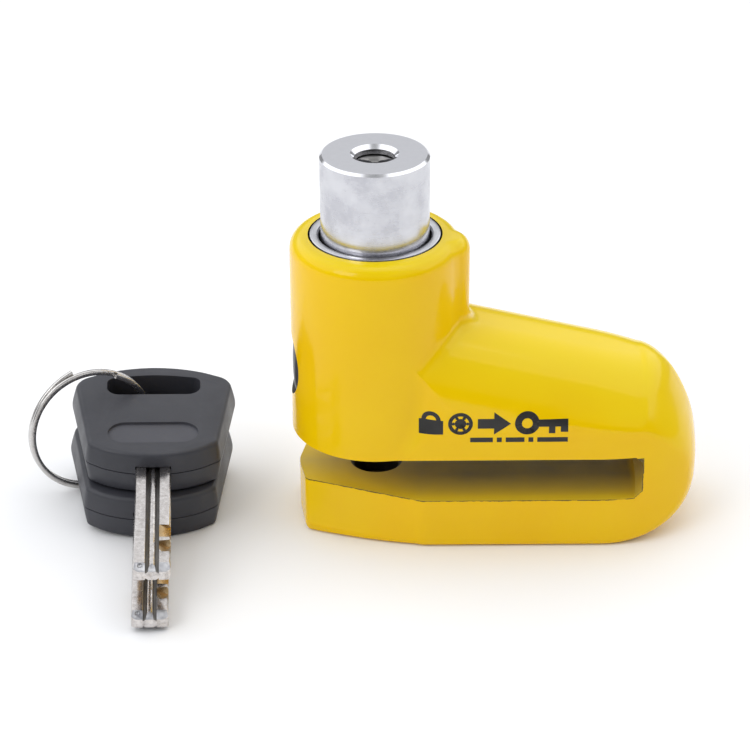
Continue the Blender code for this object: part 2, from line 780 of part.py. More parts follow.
def eye_outline():
    """Return the outline of the eye that the ring passes through."""
    centre = (0.0, EYE_BACK_CROWN - HEAD_BACK_R)
    turn = math.asin(EYE_HALF * 0.75 / HEAD_BACK_R)
    back = arc(centre, HEAD_BACK_R, math.pi / 2 - turn, math.pi / 2, 3)
    middle = (EYE_HALF, (EYE_FRONT_Y + back[0][1]) / 2)
    right = fillet((0.0, EYE_FRONT_Y), (EYE_HALF, EYE_FRONT_Y), middle, 2.6 * MM)
    right += fillet(middle, (EYE_HALF, back[0][1] - 0.2 * MM), back[0], 1.6 * MM) + back[1:]
    return right + [(-x, y) for x, y in reversed(right[:-1])]


def label_outline():
    """Return the outline of the shallow long recess in a key head."""
    reach = LABEL_HALF - LABEL_R
    right = arc((reach, LABEL_Y), LABEL_R, -math.pi / 2, math.pi / 2, 6)
    return right + arc((-reach, LABEL_Y), LABEL_R, math.pi / 2, 3 * math.pi / 2, 6)


def key_cover(name, parent, side):
    """Make one half of a key head. side is 1 for the upper half and -1 for the lower one."""
    drawn = slab(name + "_blank", head_outline(), 0.0, 0.1 * MM)
    bm = bmesh.new()
    bm.from_mesh(drawn.data)
    bpy.data.objects.remove(drawn)
    bmesh.ops.delete(bm, geom=[f for f in bm.faces if f.normal.z < 0.5], context="FACES")
    bmesh.ops.dissolve_faces(bm, faces=bm.faces)
    loose = [v for v in bm.verts if not v.link_faces]
    bmesh.ops.delete(bm, geom=loose, context="VERTS")
    bmesh.ops.translate(bm, vec=(0.0, 0.0, FIT / 2 - 0.1 * MM), verts=bm.verts)
    base = bm.faces[:]
    grown = bmesh.ops.extrude_face_region(bm, geom=base, use_keep_orig=True)
    raised = [v for v in grown["geom"] if isinstance(v, bmesh.types.BMVert)]
    land = 0.5 * MM
    bmesh.ops.translate(bm, vec=(0.0, 0.0, land), verts=raised)
    top = [f for f in grown["geom"] if isinstance(f, bmesh.types.BMFace)]
    crown = 0.9 * MM
    flank = HEAD_HALF_THICK - FIT / 2 - land - crown
    bmesh.ops.inset_region(bm, faces=top, thickness=0.7 * MM, depth=flank, use_even_offset=True)
    bmesh.ops.inset_region(bm, faces=top, thickness=0.9 * MM, depth=crown, use_even_offset=True)
    if side < 0:
        bmesh.ops.scale(bm, vec=(1.0, 1.0, -1.0), verts=bm.verts)
    bmesh.ops.recalc_face_normals(bm, faces=bm.faces)
    cover = from_bmesh(name, bm, GRAPHITE, parent)
    cover.location = -KEY_PIVOT
    return cover


def blade_outline():
    """Return the blade's cross-section as (x, z) points, rails outside and a round rib between."""
    edge = BLADE_HALF - 0.25 * MM
    rib_top = BLADE_HALF_THICK - 0.1 * MM
    quarter = [
        (0.0, rib_top),
        (RIB_R * 0.75, rib_top - 0.25 * MM),
        (RIB_R, GROOVE_WEB),
        (RAIL_IN, GROOVE_WEB),
        (RAIL_IN, BLADE_HALF_THICK),
        (edge, BLADE_HALF_THICK),
        (BLADE_HALF, 0.0),
    ]
    right = quarter + [(x, -z) for x, z in reversed(quarter[:-1])]
    return right + [(-x, z) for x, z in reversed(right[1:-1])]


def make_key(name, front):
    """Make a key from its two covers and its blade, on an empty at the ring's wire."""
    frame = bpy.data.objects.new(name, None)
    PARTS.objects.link(frame)
    frame.rotation_euler = KEY_TURN
    frame.location = front + KEY_TURN.to_matrix() @ KEY_PIVOT

    def place(obj):
        obj.parent = frame
        obj.location = -KEY_PIVOT
        return obj

    eye = place(slab(name + "_eye", eye_outline(), -HEAD_HALF_THICK - PAST, HEAD_HALF_THICK + PAST))
    blade_room = place(
        box(
            name + "_blade_room",
            (-BLADE_HALF - FIT, -PAST, -BLADE_HALF_THICK - FIT),
            (BLADE_HALF + FIT, TANG + FIT, BLADE_HALF_THICK + FIT),
        )
    )
    for side, word in ((1, "upper"), (-1, "lower")):
        cover = key_cover(f"{name}_cover_{word}", frame, side)
        boolean(cover, eye)
        boolean(cover, blade_room)
        floor = (HEAD_HALF_THICK - LABEL_DEPTH) * side
        beyond = (HEAD_HALF_THICK + PAST) * side
        heights = sorted((floor, beyond))
        boolean(cover, place(slab(f"{name}_label_{word}", label_outline(), *heights)))

    blade = slab(name + "_blade", blade_outline(), -BLADE_REACH, TANG, NICKEL)
    reorient(blade, Matrix(((1, 0, 0, 0), (0, 0, 1, 0), (0, -1, 0, 0), (0, 0, 0, 1))))
    place(blade)
    round_r = 1.6 * MM
    nose = arc((BLADE_HALF + FIT - round_r, round_r - BLADE_REACH), round_r, -math.pi / 2, 0.0, 3)
    outline = nose + [(BLADE_HALF + FIT, TANG + PAST)]
    outline += [(-x, y) for x, y in reversed(outline)]
    shape = place(slab(name + "_nose", outline, -HEAD_HALF_THICK, HEAD_HALF_THICK))
    boolean(blade, shape, "INTERSECT")
    for i, (start, end) in enumerate(CUTS):
        for side in (1, -1):
            heights = sorted((GROOVE_WEB * 0.9 * side, (BLADE_HALF_THICK + PAST) * side))
            across = sorted((RIB_R * 1.3 * side, (BLADE_HALF + PAST) * side))
            cut = box(
                f"{name}_cut_{i}_{side}",
                (across[0], end, heights[0]),
                (across[1], start, heights[1]),
            )
            boolean(blade, place(cut))


def make_ring():
    """Make the split ring, two touching turns of flat wire."""
    steps = 40
    turns = 2
    bm = bmesh.new()
    half_r, half_a = RING_RADIAL / 2, RING_AXIAL / 2
    corners = [
        (RING_R - half_r, -half_a),
        (RING_R - half_r, half_a),
        (RING_R + half_r, half_a),
        (RING_R + half_r, -half_a),
    ]
    start = -RING_PITCH * turns / 2
    face = bm.faces.new([bm.verts.new((x, 0.0, z + start)) for x, z in corners])
    bmesh.ops.spin(
        bm,
        geom=[face, *face.edges, *face.verts],
        cent=(0.0, 0.0, 0.0),
        axis=(0.0, 0.0, 1.0),
        dvec=(0.0, 0.0, RING_PITCH / steps),
        angle=2 * math.pi * turns * 0.97,
        steps=int(steps * turns * 0.97),
        use_duplicate=False,
    )
    bmesh.ops.recalc_face_normals(bm, faces=bm.faces)
    ring = from_bmesh("split_ring", bm, STEEL)
    upright = Matrix.Rotation(math.radians(130), 4, "Y") @ Matrix.Rotation(math.pi / 2, 4, "X")
    ring.matrix_world = (
        Matrix.Translation(RING_CENTRE)
        @ Matrix.Rotation(RING_YAW, 4, "Z")
        @ Matrix.Rotation(-RING_LEAN, 4, "X")
        @ upright
    )


make_housing()
make_plunger()
make_latch()
make_rotor()
make_key("key_a", LOWER_KEY_FRONT)
make_key("key_b", LOWER_KEY_FRONT + UPPER_KEY_SHIFT)
make_ring()
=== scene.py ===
"""Looks of the disc brake lock: enamelled body, plunger and key cylinder, and two keys on a ring.

Lengths are in metres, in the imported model's frame: Z up along the plunger, X from the plunger to
the closed end of the disc slot. The origin is under the plunger, where the lock stands.
"""

import logging
import math
from collections.abc import Callable, Iterable, Sequence
from dataclasses import dataclass, field
from enum import Enum
from functools import reduce

import bmesh
import bpy
import numpy as np
from mathutils import Euler, Matrix, Vector


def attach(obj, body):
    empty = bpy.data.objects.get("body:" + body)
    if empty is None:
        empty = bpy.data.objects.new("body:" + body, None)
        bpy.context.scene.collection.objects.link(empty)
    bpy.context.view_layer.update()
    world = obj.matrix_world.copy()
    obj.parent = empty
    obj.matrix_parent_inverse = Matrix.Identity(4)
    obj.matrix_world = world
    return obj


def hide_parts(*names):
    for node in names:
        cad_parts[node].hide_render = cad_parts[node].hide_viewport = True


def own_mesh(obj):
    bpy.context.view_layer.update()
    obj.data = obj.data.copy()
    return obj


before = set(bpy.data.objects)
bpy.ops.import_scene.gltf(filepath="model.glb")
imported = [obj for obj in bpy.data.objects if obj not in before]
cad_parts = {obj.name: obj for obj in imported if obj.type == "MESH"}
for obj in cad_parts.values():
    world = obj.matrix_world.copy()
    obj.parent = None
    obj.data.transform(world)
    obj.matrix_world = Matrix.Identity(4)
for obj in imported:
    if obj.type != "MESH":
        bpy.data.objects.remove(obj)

LOG = logging.getLogger("disc_brake_lock")
MM = 0.001
TURN = 2 * math.pi
PAST = 3.0 * MM
FIT = 0.3 * MM
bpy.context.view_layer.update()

Colour = tuple[float, float, float]
Point2 = tuple[float, float]
Point3 = tuple[float, float, float]
Box = tuple[Point3, Point3]
Array = np.ndarray
Material = bpy.types.Material
Object = bpy.types.Object
Shape = bmesh.types.BMesh
Socket = bpy.types.NodeSocket


class Body(Enum):
    """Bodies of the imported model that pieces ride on."""

    HOUSING = "housing"
    PLUNGER = "plunger"
    ROTOR = "rotor"
    RING = "key_ring"
    KEY_A = "key_a"
    KEY_B = "key_b"


class Slot(Enum):
    """Material slots of the record, passed along with each piece but not read."""

    ENAMEL = "enamel"
    CHROME = "chrome"
    STEEL = "steel"
    RING_STEEL = "ring_steel"
    NICKEL = "nickel"
    KEY_PLASTIC = "key_plastic"
    BLACK_PLASTIC = "black_plastic"


@dataclass(frozen=True)
class DiscSlot:
    """The slot for the brake disc, whose closed end follows the disc's rim."""

    low: float = 11.2 * MM
    high: float = 20.8 * MM
    end_x: float = 55.8 * MM
    end_r: float = 105.0 * MM
    chamfer: float = 1.5 * MM


DISC_SLOT = DiscSlot()
LOWER_KEY = Vector((-47.0, -14.0, 4.9)) * MM
UPPER_KEY = LOWER_KEY + Vector((0.8, 1.7, 9.98)) * MM


# ---------------------------------------------------------------- finishes


class Nodes:
    """Node tree, with short calls for the nodes that the finishes and the room share."""

    def __init__(self, tree: bpy.types.NodeTree, place: str) -> None:
        """Take a tree and the coordinates that its nodes read."""
        self.tree = tree
        self.place = self.add("ShaderNodeTexCoord").outputs[place]

    def put(self, socket: Socket, value: object) -> None:
        """Set a socket's value, or link a node's output to it. Colours are opaque."""
        if isinstance(value, Socket):
            self.tree.links.new(value, socket)
        else:
            socket.default_value = (*value, 1.0) if socket.type == "RGBA" else value

    def add(self, kind: str, inputs: dict | None = None, **settings: object) -> bpy.types.Node:
        """Add a node.

        Args:
            kind: Type name of the node.
            inputs: Values or outputs of other nodes, by socket name or number.
            settings: Properties of the node.

        Returns:
            The new node.
        """
        node = self.tree.nodes.new(kind)
        for name, value in settings.items():
            setattr(node, name, value)
        for name, value in (inputs or {}).items():
            self.put(node.inputs[name], value)
        return node

    def axes(self, vector: Socket | None = None) -> list[Socket]:
        """Return the three parts of a vector, or of the coordinates."""
        return list(self.add("ShaderNodeSeparateXYZ", {0: vector or self.place}).outputs)

    def calc(self, operation: str, first: object, second: object = 0.0) -> Socket:
        """Return the result of a calculation on two values."""
        return self.add("ShaderNodeMath", {0: first, 1: second}, operation=operation).outputs[0]

    def product(self, *values: object) -> Socket:
        """Return the product of several values."""
        return reduce(lambda first, second: self.calc("MULTIPLY", first, second), values)

    def span(
        self, value: object, low: float, high: float, first: float, last: float, **settings: object
    ) -> Socket:
        """Return a value moved from the span low to high onto first to last, and kept in it."""
        inputs = {"Value": value, "From Min": low, "From Max": high, "To Min": first, "To Max": last}
        return self.add("ShaderNodeMapRange", inputs, **settings).outputs["Result"]


class Graph(Nodes):
    """Node tree of one material."""

    def __init__(self, name: str, colour: Colour, roughness: float, metallic: float = 0.0) -> None:
        """Start a material from its plain values.

        Args:
            name: Name of the material.
            colour: Linear base colour.
            roughness: Roughness of the surface.
            metallic: 1 for bare metal and 0 for the rest.
        """
        self.material = bpy.data.materials.new(name)
        self.material.use_nodes = True
        super().__init__(self.material.node_tree, "Object")
        self.shader = self.tree.nodes["Principled BSDF"]
        self.set("Base Color", colour)
        self.set("Roughness", roughness)
        self.set("Metallic", metallic)

    def set(self, socket: str, value: object) -> None:
        """Set a value of the shader, or link a node's output to it."""
        self.put(self.shader.inputs[socket], value)

    def noise(
        self, scale: float, detail: float = 3.0, rough: float = 0.55, vector: Socket | None = None
    ) -> Socket:
        """Return a noise from 0 to 1, with scale in cells per metre."""
        inputs = {"Vector": vector or self.place, "Scale": scale, "Detail": detail, "Roughness": rough}
        return self.add("ShaderNodeTexNoise", inputs).outputs["Fac"]

    def blend(self, share: object, first: object, second: object) -> Socket:
        """Return two colours mixed by a share."""
        return self.add("ShaderNodeMix", {0: share, 6: first, 7: second}, data_type="RGBA").outputs[2]

    def bump(self, height: Socket, depth: float, strength: float, under: Socket | None = None) -> Socket:
        """Return a normal that is roughened by a height, with depth in metres."""
        inputs = {"Height": height, "Distance": depth, "Strength": strength}
        if under is not None:
            inputs["Normal"] = under
        return self.add("ShaderNodeBump", inputs).outputs["Normal"]


@dataclass(frozen=True)
class Enamel:
    """Thick gloss enamel on a casting, drawn back from the slot's sharp rim, with painted light that pales
    its upward faces.
    """

    colour: Colour = (0.97, 0.615, 0.0)
    thin: Colour = (0.93, 0.52, 0.0)
    # Painted light: a paler lemon yellow laid on faces that point up.
    painted_top_light: Colour = (0.77, 0.62, 0.0)
    edge: Colour = (0.13, 0.085, 0.02)
    roughness: float = 0.16
    line: float = 0.16 * MM
    lip: float = 0.3 * MM

    def rim(self, g: Graph) -> Socket:
        """Return how much of the bare rim shows, from the distance to the slot."""
        slot = DISC_SLOT
        x, y, z = g.axes()
        x = g.calc("ADD", x, slot.end_r - slot.end_x)
        reach = g.calc("SQRT", g.calc("ADD", g.product(x, x), g.product(y, y)))
        deep = g.calc("SUBTRACT", reach, slot.end_r)
        tall = g.calc("SUBTRACT", slot.low, z)
        above = g.calc("LESS_THAN", z, slot.high - self.lip)
        corner = g.calc("ADD", g.calc("ADD", tall, deep), slot.chamfer)
        away = g.calc("MAXIMUM", g.calc("MAXIMUM", tall, deep), g.product(corner, math.sqrt(0.5)))
        ragged = g.span(g.noise(650.0, 5.0, 0.75), 0.35, 0.68, self.line * 0.55, self.line * 1.9)
        inside = g.span(g.calc("SUBTRACT", away, ragged), -0.03 * MM, 0.03 * MM, 1.0, 0.0)
        broken = g.span(g.noise(260.0, 3.0, 0.6), 0.30, 0.42, 0.4, 1.0)
        return g.product(inside, above, broken)

    def make(self) -> Material:
        """Return the material."""
        g = Graph("yellow_enamel", self.colour, self.roughness)
        tone = g.blend(g.span(g.noise(45.0, 2.0), 0.35, 0.7, 0.0, 0.5), self.colour, self.thin)
        specks = g.span(g.noise(1500.0, 2.0, 0.5), 0.72, 0.80, 0.0, 0.35)
        tone = g.blend(specks, tone, self.thin)
        # Painted light: faces that point up get the paler lemon yellow, as if lit from above.
        upward = g.axes(g.add("ShaderNodeTexCoord").outputs["Normal"])[2]
        tone = g.blend(g.span(upward, 0.1, 0.9, 0.0, 0.65), tone, self.painted_top_light)
        g.set("Base Color", g.blend(self.rim(g), tone, self.edge))
        g.set("Roughness", g.span(g.noise(120.0, 2.0), 0.3, 0.7, 0.10, 0.2))
        g.set("Coat Weight", 0.14)
        g.set("Coat Roughness", 0.03)
        g.set("Specular IOR Level", 0.2)
        peel = g.bump(g.noise(420.0, 2.0, 0.5), 0.00004, 0.4)
        g.set("Normal", g.bump(g.noise(75.0, 1.0, 0.4), 0.0002, 0.3, peel))
        return g.material


@dataclass(frozen=True)
class SlotEnamel:
    """Thin dull enamel in the slot, with painted shade that darkens it away from the slot's open front and
    back edges, less near the nose and the closed end.
    """

    colour: Colour = (0.74, 0.52, 0.02)
    # Colour of the painted shade deep in the slot.
    deep: Colour = (0.27, 0.24, 0.145)
    front: float = -15.8 * MM
    back: float = -6.5 * MM
    nose: float = 9.0 * MM
    lean: float = 0.40
    start: Point2 = (-14.0 * MM, 20.0 * MM)
    end: Point2 = (52.8 * MM, 54.2 * MM)

    def make(self) -> Material:
        """Return the material."""
        g = Graph("slot_enamel", self.colour, 0.42)
        x, y, _ = g.axes()
        # Painted shade: darker away from the slot's open front and back, fading towards the nose and the
        # closed end.
        short = g.calc("MAXIMUM", g.calc("SUBTRACT", self.nose, x), 0.0)
        edge = g.calc("MINIMUM", y, g.product(y, -1.0))
        run = g.calc("SUBTRACT", edge, g.product(short, self.lean))
        shade_inward = g.span(run, self.front, self.back, 0.0, 0.95)
        near = g.product(g.span(x, *self.start, 0.5, 1.0), g.span(x, *self.end, 1.0, 0.1))
        share = g.product(shade_inward, near, g.span(g.noise(90.0, 4.0), 0.3, 0.7, 0.8, 1.1))
        g.set("Base Color", g.blend(share, self.colour, self.deep))
        g.set("Specular IOR Level", 0.3)
        g.set("Roughness", g.span(g.noise(300.0, 3.0), 0.3, 0.7, 0.3, 0.5))
        g.set("Normal", g.bump(g.noise(800.0, 3.0), 0.00006, 0.5))
        return g.material


@dataclass(frozen=True)
class Metal:
    """Bare or plated metal with a directional finish and light wear."""

    name: str
    colour: Colour
    roughness: float
    grain: tuple[float, float, float] = (1.0, 1.0, 1.0)
    grain_scale: float = 900.0
    grain_depth: float = 0.00002
    worn: Colour | None = None
    worn_scale: float = 160.0
    worn_share: float = 0.4
    turned: bool = False

    def make(self) -> Material:
        """Return the material."""
        g = Graph(self.name, self.colour, self.roughness, 1.0)
        vector = g.add("ShaderNodeMapping", {"Vector": g.place, "Scale": self.grain}).outputs["Vector"]
        if self.turned:
            x, y, z = g.axes()
            square = g.calc("ADD", g.calc("POWER", x, 2.0), g.calc("POWER", y, 2.0))
            radius = g.calc("POWER", square, 0.5)
            vector = g.add("ShaderNodeCombineXYZ", {0: radius, 1: 0.0, 2: z}).outputs[0]
        lines = g.noise(self.grain_scale, 4.0, 0.65, vector)
        patches = g.noise(self.worn_scale, 4.0, 0.6)
        worn = self.worn or tuple(c * 0.7 for c in self.colour)
        share = g.span(patches, 0.35, 0.7, 0.0, self.worn_share)
        g.set("Base Color", g.blend(share, self.colour, worn))
        smears, scratches = g.span(patches, 0.3, 0.7, -0.06, 0.08), g.span(lines, 0.3, 0.7, -0.05, 0.06)
        rough = g.calc("ADD", smears, scratches)
        g.set("Roughness", g.calc("ADD", rough, self.roughness))
        g.set("Normal", g.bump(lines, self.grain_depth, 0.5))
        return g.material


@dataclass(frozen=True)
class Moulding:
    """Moulded plastic with a fine spark-eroded grain."""

    name: str
    colour: Colour
    rubbed: Colour
    roughness: float
    grain_depth: float = 0.00003
    grain_scale: float = 5200.0

    def make(self) -> Material:
        """Return the material."""
        g = Graph(self.name, self.colour, self.roughness)
        rub = g.span(g.noise(70.0, 4.0, 0.6), 0.45, 0.75, 0.0, 0.5)
        dust = g.span(g.noise(2400.0, 2.0, 0.6), 0.66, 0.76, 0.0, 0.35)
        g.set("Base Color", g.blend(dust, g.blend(rub, self.colour, self.rubbed), self.rubbed))
        low, high = self.roughness - 0.07, self.roughness + 0.07
        g.set("Roughness", g.span(g.noise(160.0, 3.0), 0.3, 0.7, low, high))
        g.set("Specular IOR Level", 0.42)
        g.set("Normal", g.bump(g.noise(self.grain_scale, 3.0, 0.7), self.grain_depth, 0.7))
        return g.material


@dataclass(frozen=True)
class Ink:
    """Dark printed ink, a little uneven over the enamel."""

    colour: Colour = (0.012, 0.011, 0.010)
    thin: Colour = (0.05, 0.04, 0.01)

    def make(self) -> Material:
        """Return the material."""
        g = Graph("dark_ink", self.colour, 0.4)
        g.set("Roughness", g.span(g.noise(700.0, 3.0), 0.3, 0.7, 0.3, 0.5))
        g.set("Base Color", g.blend(g.span(g.noise(1800.0), 0.6, 0.8, 0.0, 0.4), self.colour, self.thin))
        return g.material


@dataclass(frozen=True)
class Paper:
    """Plain white surface that the object stands on."""

    colour: Colour = (0.93, 0.93, 0.935)

    def make(self) -> Material:
        """Return the material."""
        g = Graph("white_sweep", self.colour, 0.6)
        g.set("Specular IOR Level", 0.2)
        return g.material


def shared(finish: Enamel | SlotEnamel | Metal | Moulding | Ink) -> Material:
    """Return a field that makes a finish's material once for each set of finishes."""
    return field(default_factory=finish.make)


@dataclass(frozen=True)
class Finishes:
    """Every material of the lock, made once and shared."""

    enamel: Material = shared(Enamel())
    slot_enamel: Material = shared(SlotEnamel())
    casting: Material = shared(Metal("bare_casting", (0.10, 0.095, 0.09), 0.5, grain_scale=1500.0))
    chrome: Material = shared(Metal(
        "satin_chrome", (0.66, 0.66, 0.685), 0.24, grain_scale=5200.0, grain_depth=0.000004,
        worn=(0.47, 0.47, 0.51), worn_scale=190.0, worn_share=0.75, turned=True,
    ))
    polished: Material = shared(Metal(
        "polished_chrome", (0.84, 0.84, 0.86), 0.10, grain_scale=5200.0, grain_depth=0.000002,
        worn=(0.6, 0.6, 0.64), worn_share=0.3, turned=True,
    ))
    ground: Material = shared(Metal(
        "ground_chrome", (0.64, 0.64, 0.665), 0.42, grain_scale=6500.0, grain_depth=0.00001,
        worn=(0.56, 0.56, 0.59), worn_scale=260.0, worn_share=0.5,
    ))
    nose: Material = shared(Metal(
        "milled_nose", (0.50, 0.50, 0.51), 0.40, grain_depth=0.00012,
        worn=(0.24, 0.24, 0.26), worn_scale=620.0, worn_share=1.0,
    ))
    groove: Material = shared(Metal("blade_groove", (0.34, 0.33, 0.32), 0.34, grain_depth=0.00001))
    steel: Material = shared(Metal(
        "hardened_steel", (0.42, 0.42, 0.44), 0.36, grain_scale=3000.0, worn=(0.26, 0.25, 0.25), turned=True
    ))
    wire: Material = shared(Metal(
        "bright_wire", (0.66, 0.64, 0.62), 0.22, grain_scale=2600.0, grain_depth=0.000004,
        worn=(0.48, 0.46, 0.45), worn_scale=400.0,
    ))
    nickel: Material = shared(Metal(
        "nickel_plate", (0.72, 0.685, 0.665), 0.22, grain_scale=2600.0, grain_depth=0.000006,
        worn=(0.42, 0.39, 0.37), worn_scale=1100.0, worn_share=0.9,
    ))
    brass: Material = shared(Metal(
        "cut_brass", (0.50, 0.36, 0.20), 0.28, grain=(1.0, 6.0, 1.0), grain_scale=1400.0,
        grain_depth=0.00004, worn=(0.40, 0.27, 0.13), worn_scale=700.0, worn_share=0.8,
    ))
    key_plastic: Material = shared(
        Moulding("graphite_plastic", (0.038, 0.039, 0.048), (0.06, 0.06, 0.072), 0.44)
    )
    label: Material = shared(Moulding("label_floor", (0.066, 0.067, 0.080), (0.085, 0.085, 0.10), 0.55))
    black_plastic: Material = shared(
        Moulding("black_plastic", (0.035, 0.033, 0.042), (0.06, 0.06, 0.07), 0.35, 0.00001)
    )
    ink: Material = shared(Ink())


# ---------------------------------------------------------------- shaping


def spun(axis: str, degrees: float) -> Matrix:
    """Return a turn about an axis through the origin."""
    return Matrix.Rotation(math.radians(degrees), 4, axis)


def cut_off(
    points: Sequence[Point2], corner: Point2, after: Point2, radius: float, steps: int = 6
) -> list[Point2]:
    """Return the points that round a corner of an outline.

    Args:
        points: The outline so far; its last point is before the corner.
        corner: The corner.
        after: The next point after the corner.
        radius: Radius of the round.
        steps: Number of steps in the round.

    Returns:
        The round's points.
    """
    middle = Vector(corner)
    first = (Vector(points[-1]) - middle).normalized()
    second = (Vector(after) - middle).normalized()
    half = first.angle(second) / 2
    centre = middle + (first + second).normalized() * (radius / math.sin(half))
    start = middle + first * (radius / math.tan(half)) - centre
    sweep = start.angle_signed(middle + second * (radius / math.tan(half)) - centre)
    return [tuple(centre + Matrix.Rotation(-sweep * i / steps, 2) @ start) for i in range(steps + 1)]


def arc(centre: Point2, radius: float, start: float, end: float, steps: int) -> list[Point2]:
    """Return the points of an arc between two angles in degrees."""
    angles = [math.radians(start + (end - start) * i / steps) for i in range(steps + 1)]
    return [(centre[0] + radius * math.cos(a), centre[1] + radius * math.sin(a)) for a in angles]


def mirrored(right: Sequence[Point2], shared: bool = False) -> list[Point2]:
    """Return an outline closed with its mirror image in X, leaving out points shared on the line."""
    half = right[1:-1] if shared else right
    return [*right, *((-x, y) for x, y in reversed(half))]


def faced(bm: Shape) -> Shape:
    """Return a shape with its faces turned outwards."""
    bmesh.ops.recalc_face_normals(bm, faces=bm.faces)
    return bm


def grow(bm: Shape, face: bmesh.types.BMFace, height: float) -> list[bmesh.types.BMFace]:
    """Extrude a face upwards, and return the face at the top."""
    grown = bmesh.ops.extrude_face_region(bm, geom=[face], use_keep_orig=True)["geom"]
    risen = [v for v in grown if isinstance(v, bmesh.types.BMVert)]
    bmesh.ops.translate(bm, vec=(0.0, 0.0, height), verts=risen)
    return [f for f in grown if isinstance(f, bmesh.types.BMFace)]


def plate(outline: Sequence[Point2], low: float, high: float) -> Shape:
    """Return a flat outline in X and Y made solid between two heights."""
    bm = bmesh.new()
    face = bm.faces.new([bm.verts.new((x, y, low)) for x, y in outline])
    grow(bm, face, high - low)
    return faced(bm)


def turned(profile: Sequence[Point2], steps: int = 128, ring: bool = False) -> Shape:
    """Return a shape turned on the Z axis from its (radius, height) profile.

    Args:
        profile: Points from the top down; closed pieces start and end on the axis.
        steps: Number of steps round the axis.
        ring: True where the profile is a closed loop off the axis.

    Returns:
        The turned shape.
    """
    bm = bmesh.new()
    verts = [bm.verts.new((radius, 0.0, height)) for radius, height in profile]
    edges = [bm.edges.new(pair) for pair in zip(verts, verts[1:])]
    if ring:
        edges.append(bm.edges.new((verts[-1], verts[0])))
    bmesh.ops.spin(
        bm, geom=[*verts, *edges], cent=(0, 0, 0), axis=(0, 0, 1), angle=TURN, steps=steps, use_merge=True
    )
    bmesh.ops.remove_doubles(bm, verts=bm.verts, dist=0.001 * MM)
    return faced(bm)


def block(low: Sequence[float], high: Sequence[float]) -> Shape:
    """Return a box between two corners."""
    bm = bmesh.new()
    bmesh.ops.create_cube(bm, size=1.0)
    bmesh.ops.scale(bm, vec=Vector(high) - Vector(low), verts=bm.verts)
    bmesh.ops.translate(bm, vec=(Vector(low) + Vector(high)) / 2, verts=bm.verts)
    return bm


def moved(bm: Shape, matrix: Matrix) -> Shape:
    """Return a shape after it is turned and moved."""
    bmesh.ops.transform(bm, matrix=matrix, verts=bm.verts)
    return bm


def joined(shapes: Iterable[Shape]) -> Shape:
    """Return several shapes as one, side by side."""
    whole = bmesh.new()
    for shape in shapes:
        mesh = bpy.data.meshes.new("joining")
        shape.to_mesh(mesh)
        shape.free()
        whole.from_mesh(mesh)
        bpy.data.meshes.remove(mesh)
    return whole


def to_object(name: str, bm: Shape, *materials: Material) -> Object:
    """Return a new object from a shape, with its materials."""
    mesh = bpy.data.meshes.new(name)
    bm.to_mesh(mesh)
    bm.free()
    for material in materials:
        mesh.materials.append(material)
    obj = bpy.data.objects.new(name, mesh)
    bpy.context.scene.collection.objects.link(obj)
    return obj


def settle(obj: Object, sharp: float = 35.0) -> Object:
    """Apply an object's modifiers and shade it smooth but for edges sharper than an angle in degrees."""
    bpy.context.view_layer.update()
    made = bpy.data.meshes.new_from_object(obj.evaluated_get(bpy.context.evaluated_depsgraph_get()))
    obj.modifiers.clear()
    old, obj.data = obj.data, made
    bpy.data.meshes.remove(old)
    made.name = obj.name
    made.shade_smooth()
    made.set_sharp_from_angle(angle=math.radians(sharp))
    return obj


def cut(
    obj: Object, shapes: Iterable[Shape], material: Material,
    operation: str = "DIFFERENCE",
) -> Object:
    """Cut shapes out of an object, one after the other.

    Args:
        obj: The object to cut.
        shapes: The cutters.
        material: What the cut faces show.
        operation: Name of the Boolean operation.

    Returns:
        The object, with the cuts applied.
    """
    tools = [to_object("cutter", shape, material) for shape in shapes]
    for tool in tools:
        modifier = obj.modifiers.new("cut", "BOOLEAN")
        modifier.operation = operation
        modifier.solver = "EXACT"
        modifier.material_mode = "TRANSFER"
        modifier.object = tool
    settle(obj)
    for tool in tools:
        bpy.data.objects.remove(tool)
    return obj


def eased(obj: Object, width: float, angle: float = 40.0, segments: int = 3) -> Object:
    """Round an object's sharp edges by a width."""
    modifier = obj.modifiers.new("eased", "BEVEL")
    modifier.width = width
    modifier.segments = segments
    modifier.limit_method = "ANGLE"
    modifier.angle_limit = math.radians(angle)
    return settle(obj)


def fit(obj: Object, body: Body, slot: Slot, *nodes: str) -> Object:
    """Put a finished piece on its body, in place of CAD nodes.

    Args:
        obj: The piece.
        body: The body that it rides on.
        slot: The record's slot for its finish; not used.
        nodes: The CAD nodes that it stands for.

    Returns:
        The piece.
    """
    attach(obj, body.value)
    if nodes:
        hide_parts(*nodes)
    LOG.info("%s: %d faces, rides %s", obj.name, len(obj.data.polygons), body.value)
    return obj


def dress(material: Material, *nodes: str) -> None:
    """Give CAD nodes that stay their material."""
    for name in nodes:
        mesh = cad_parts[name].data
        mesh.materials.clear()
        mesh.materials.append(material)
        LOG.info("%s: kept from the CAD in %s", name, material.name)


# ---------------------------------------------------------------- cast body


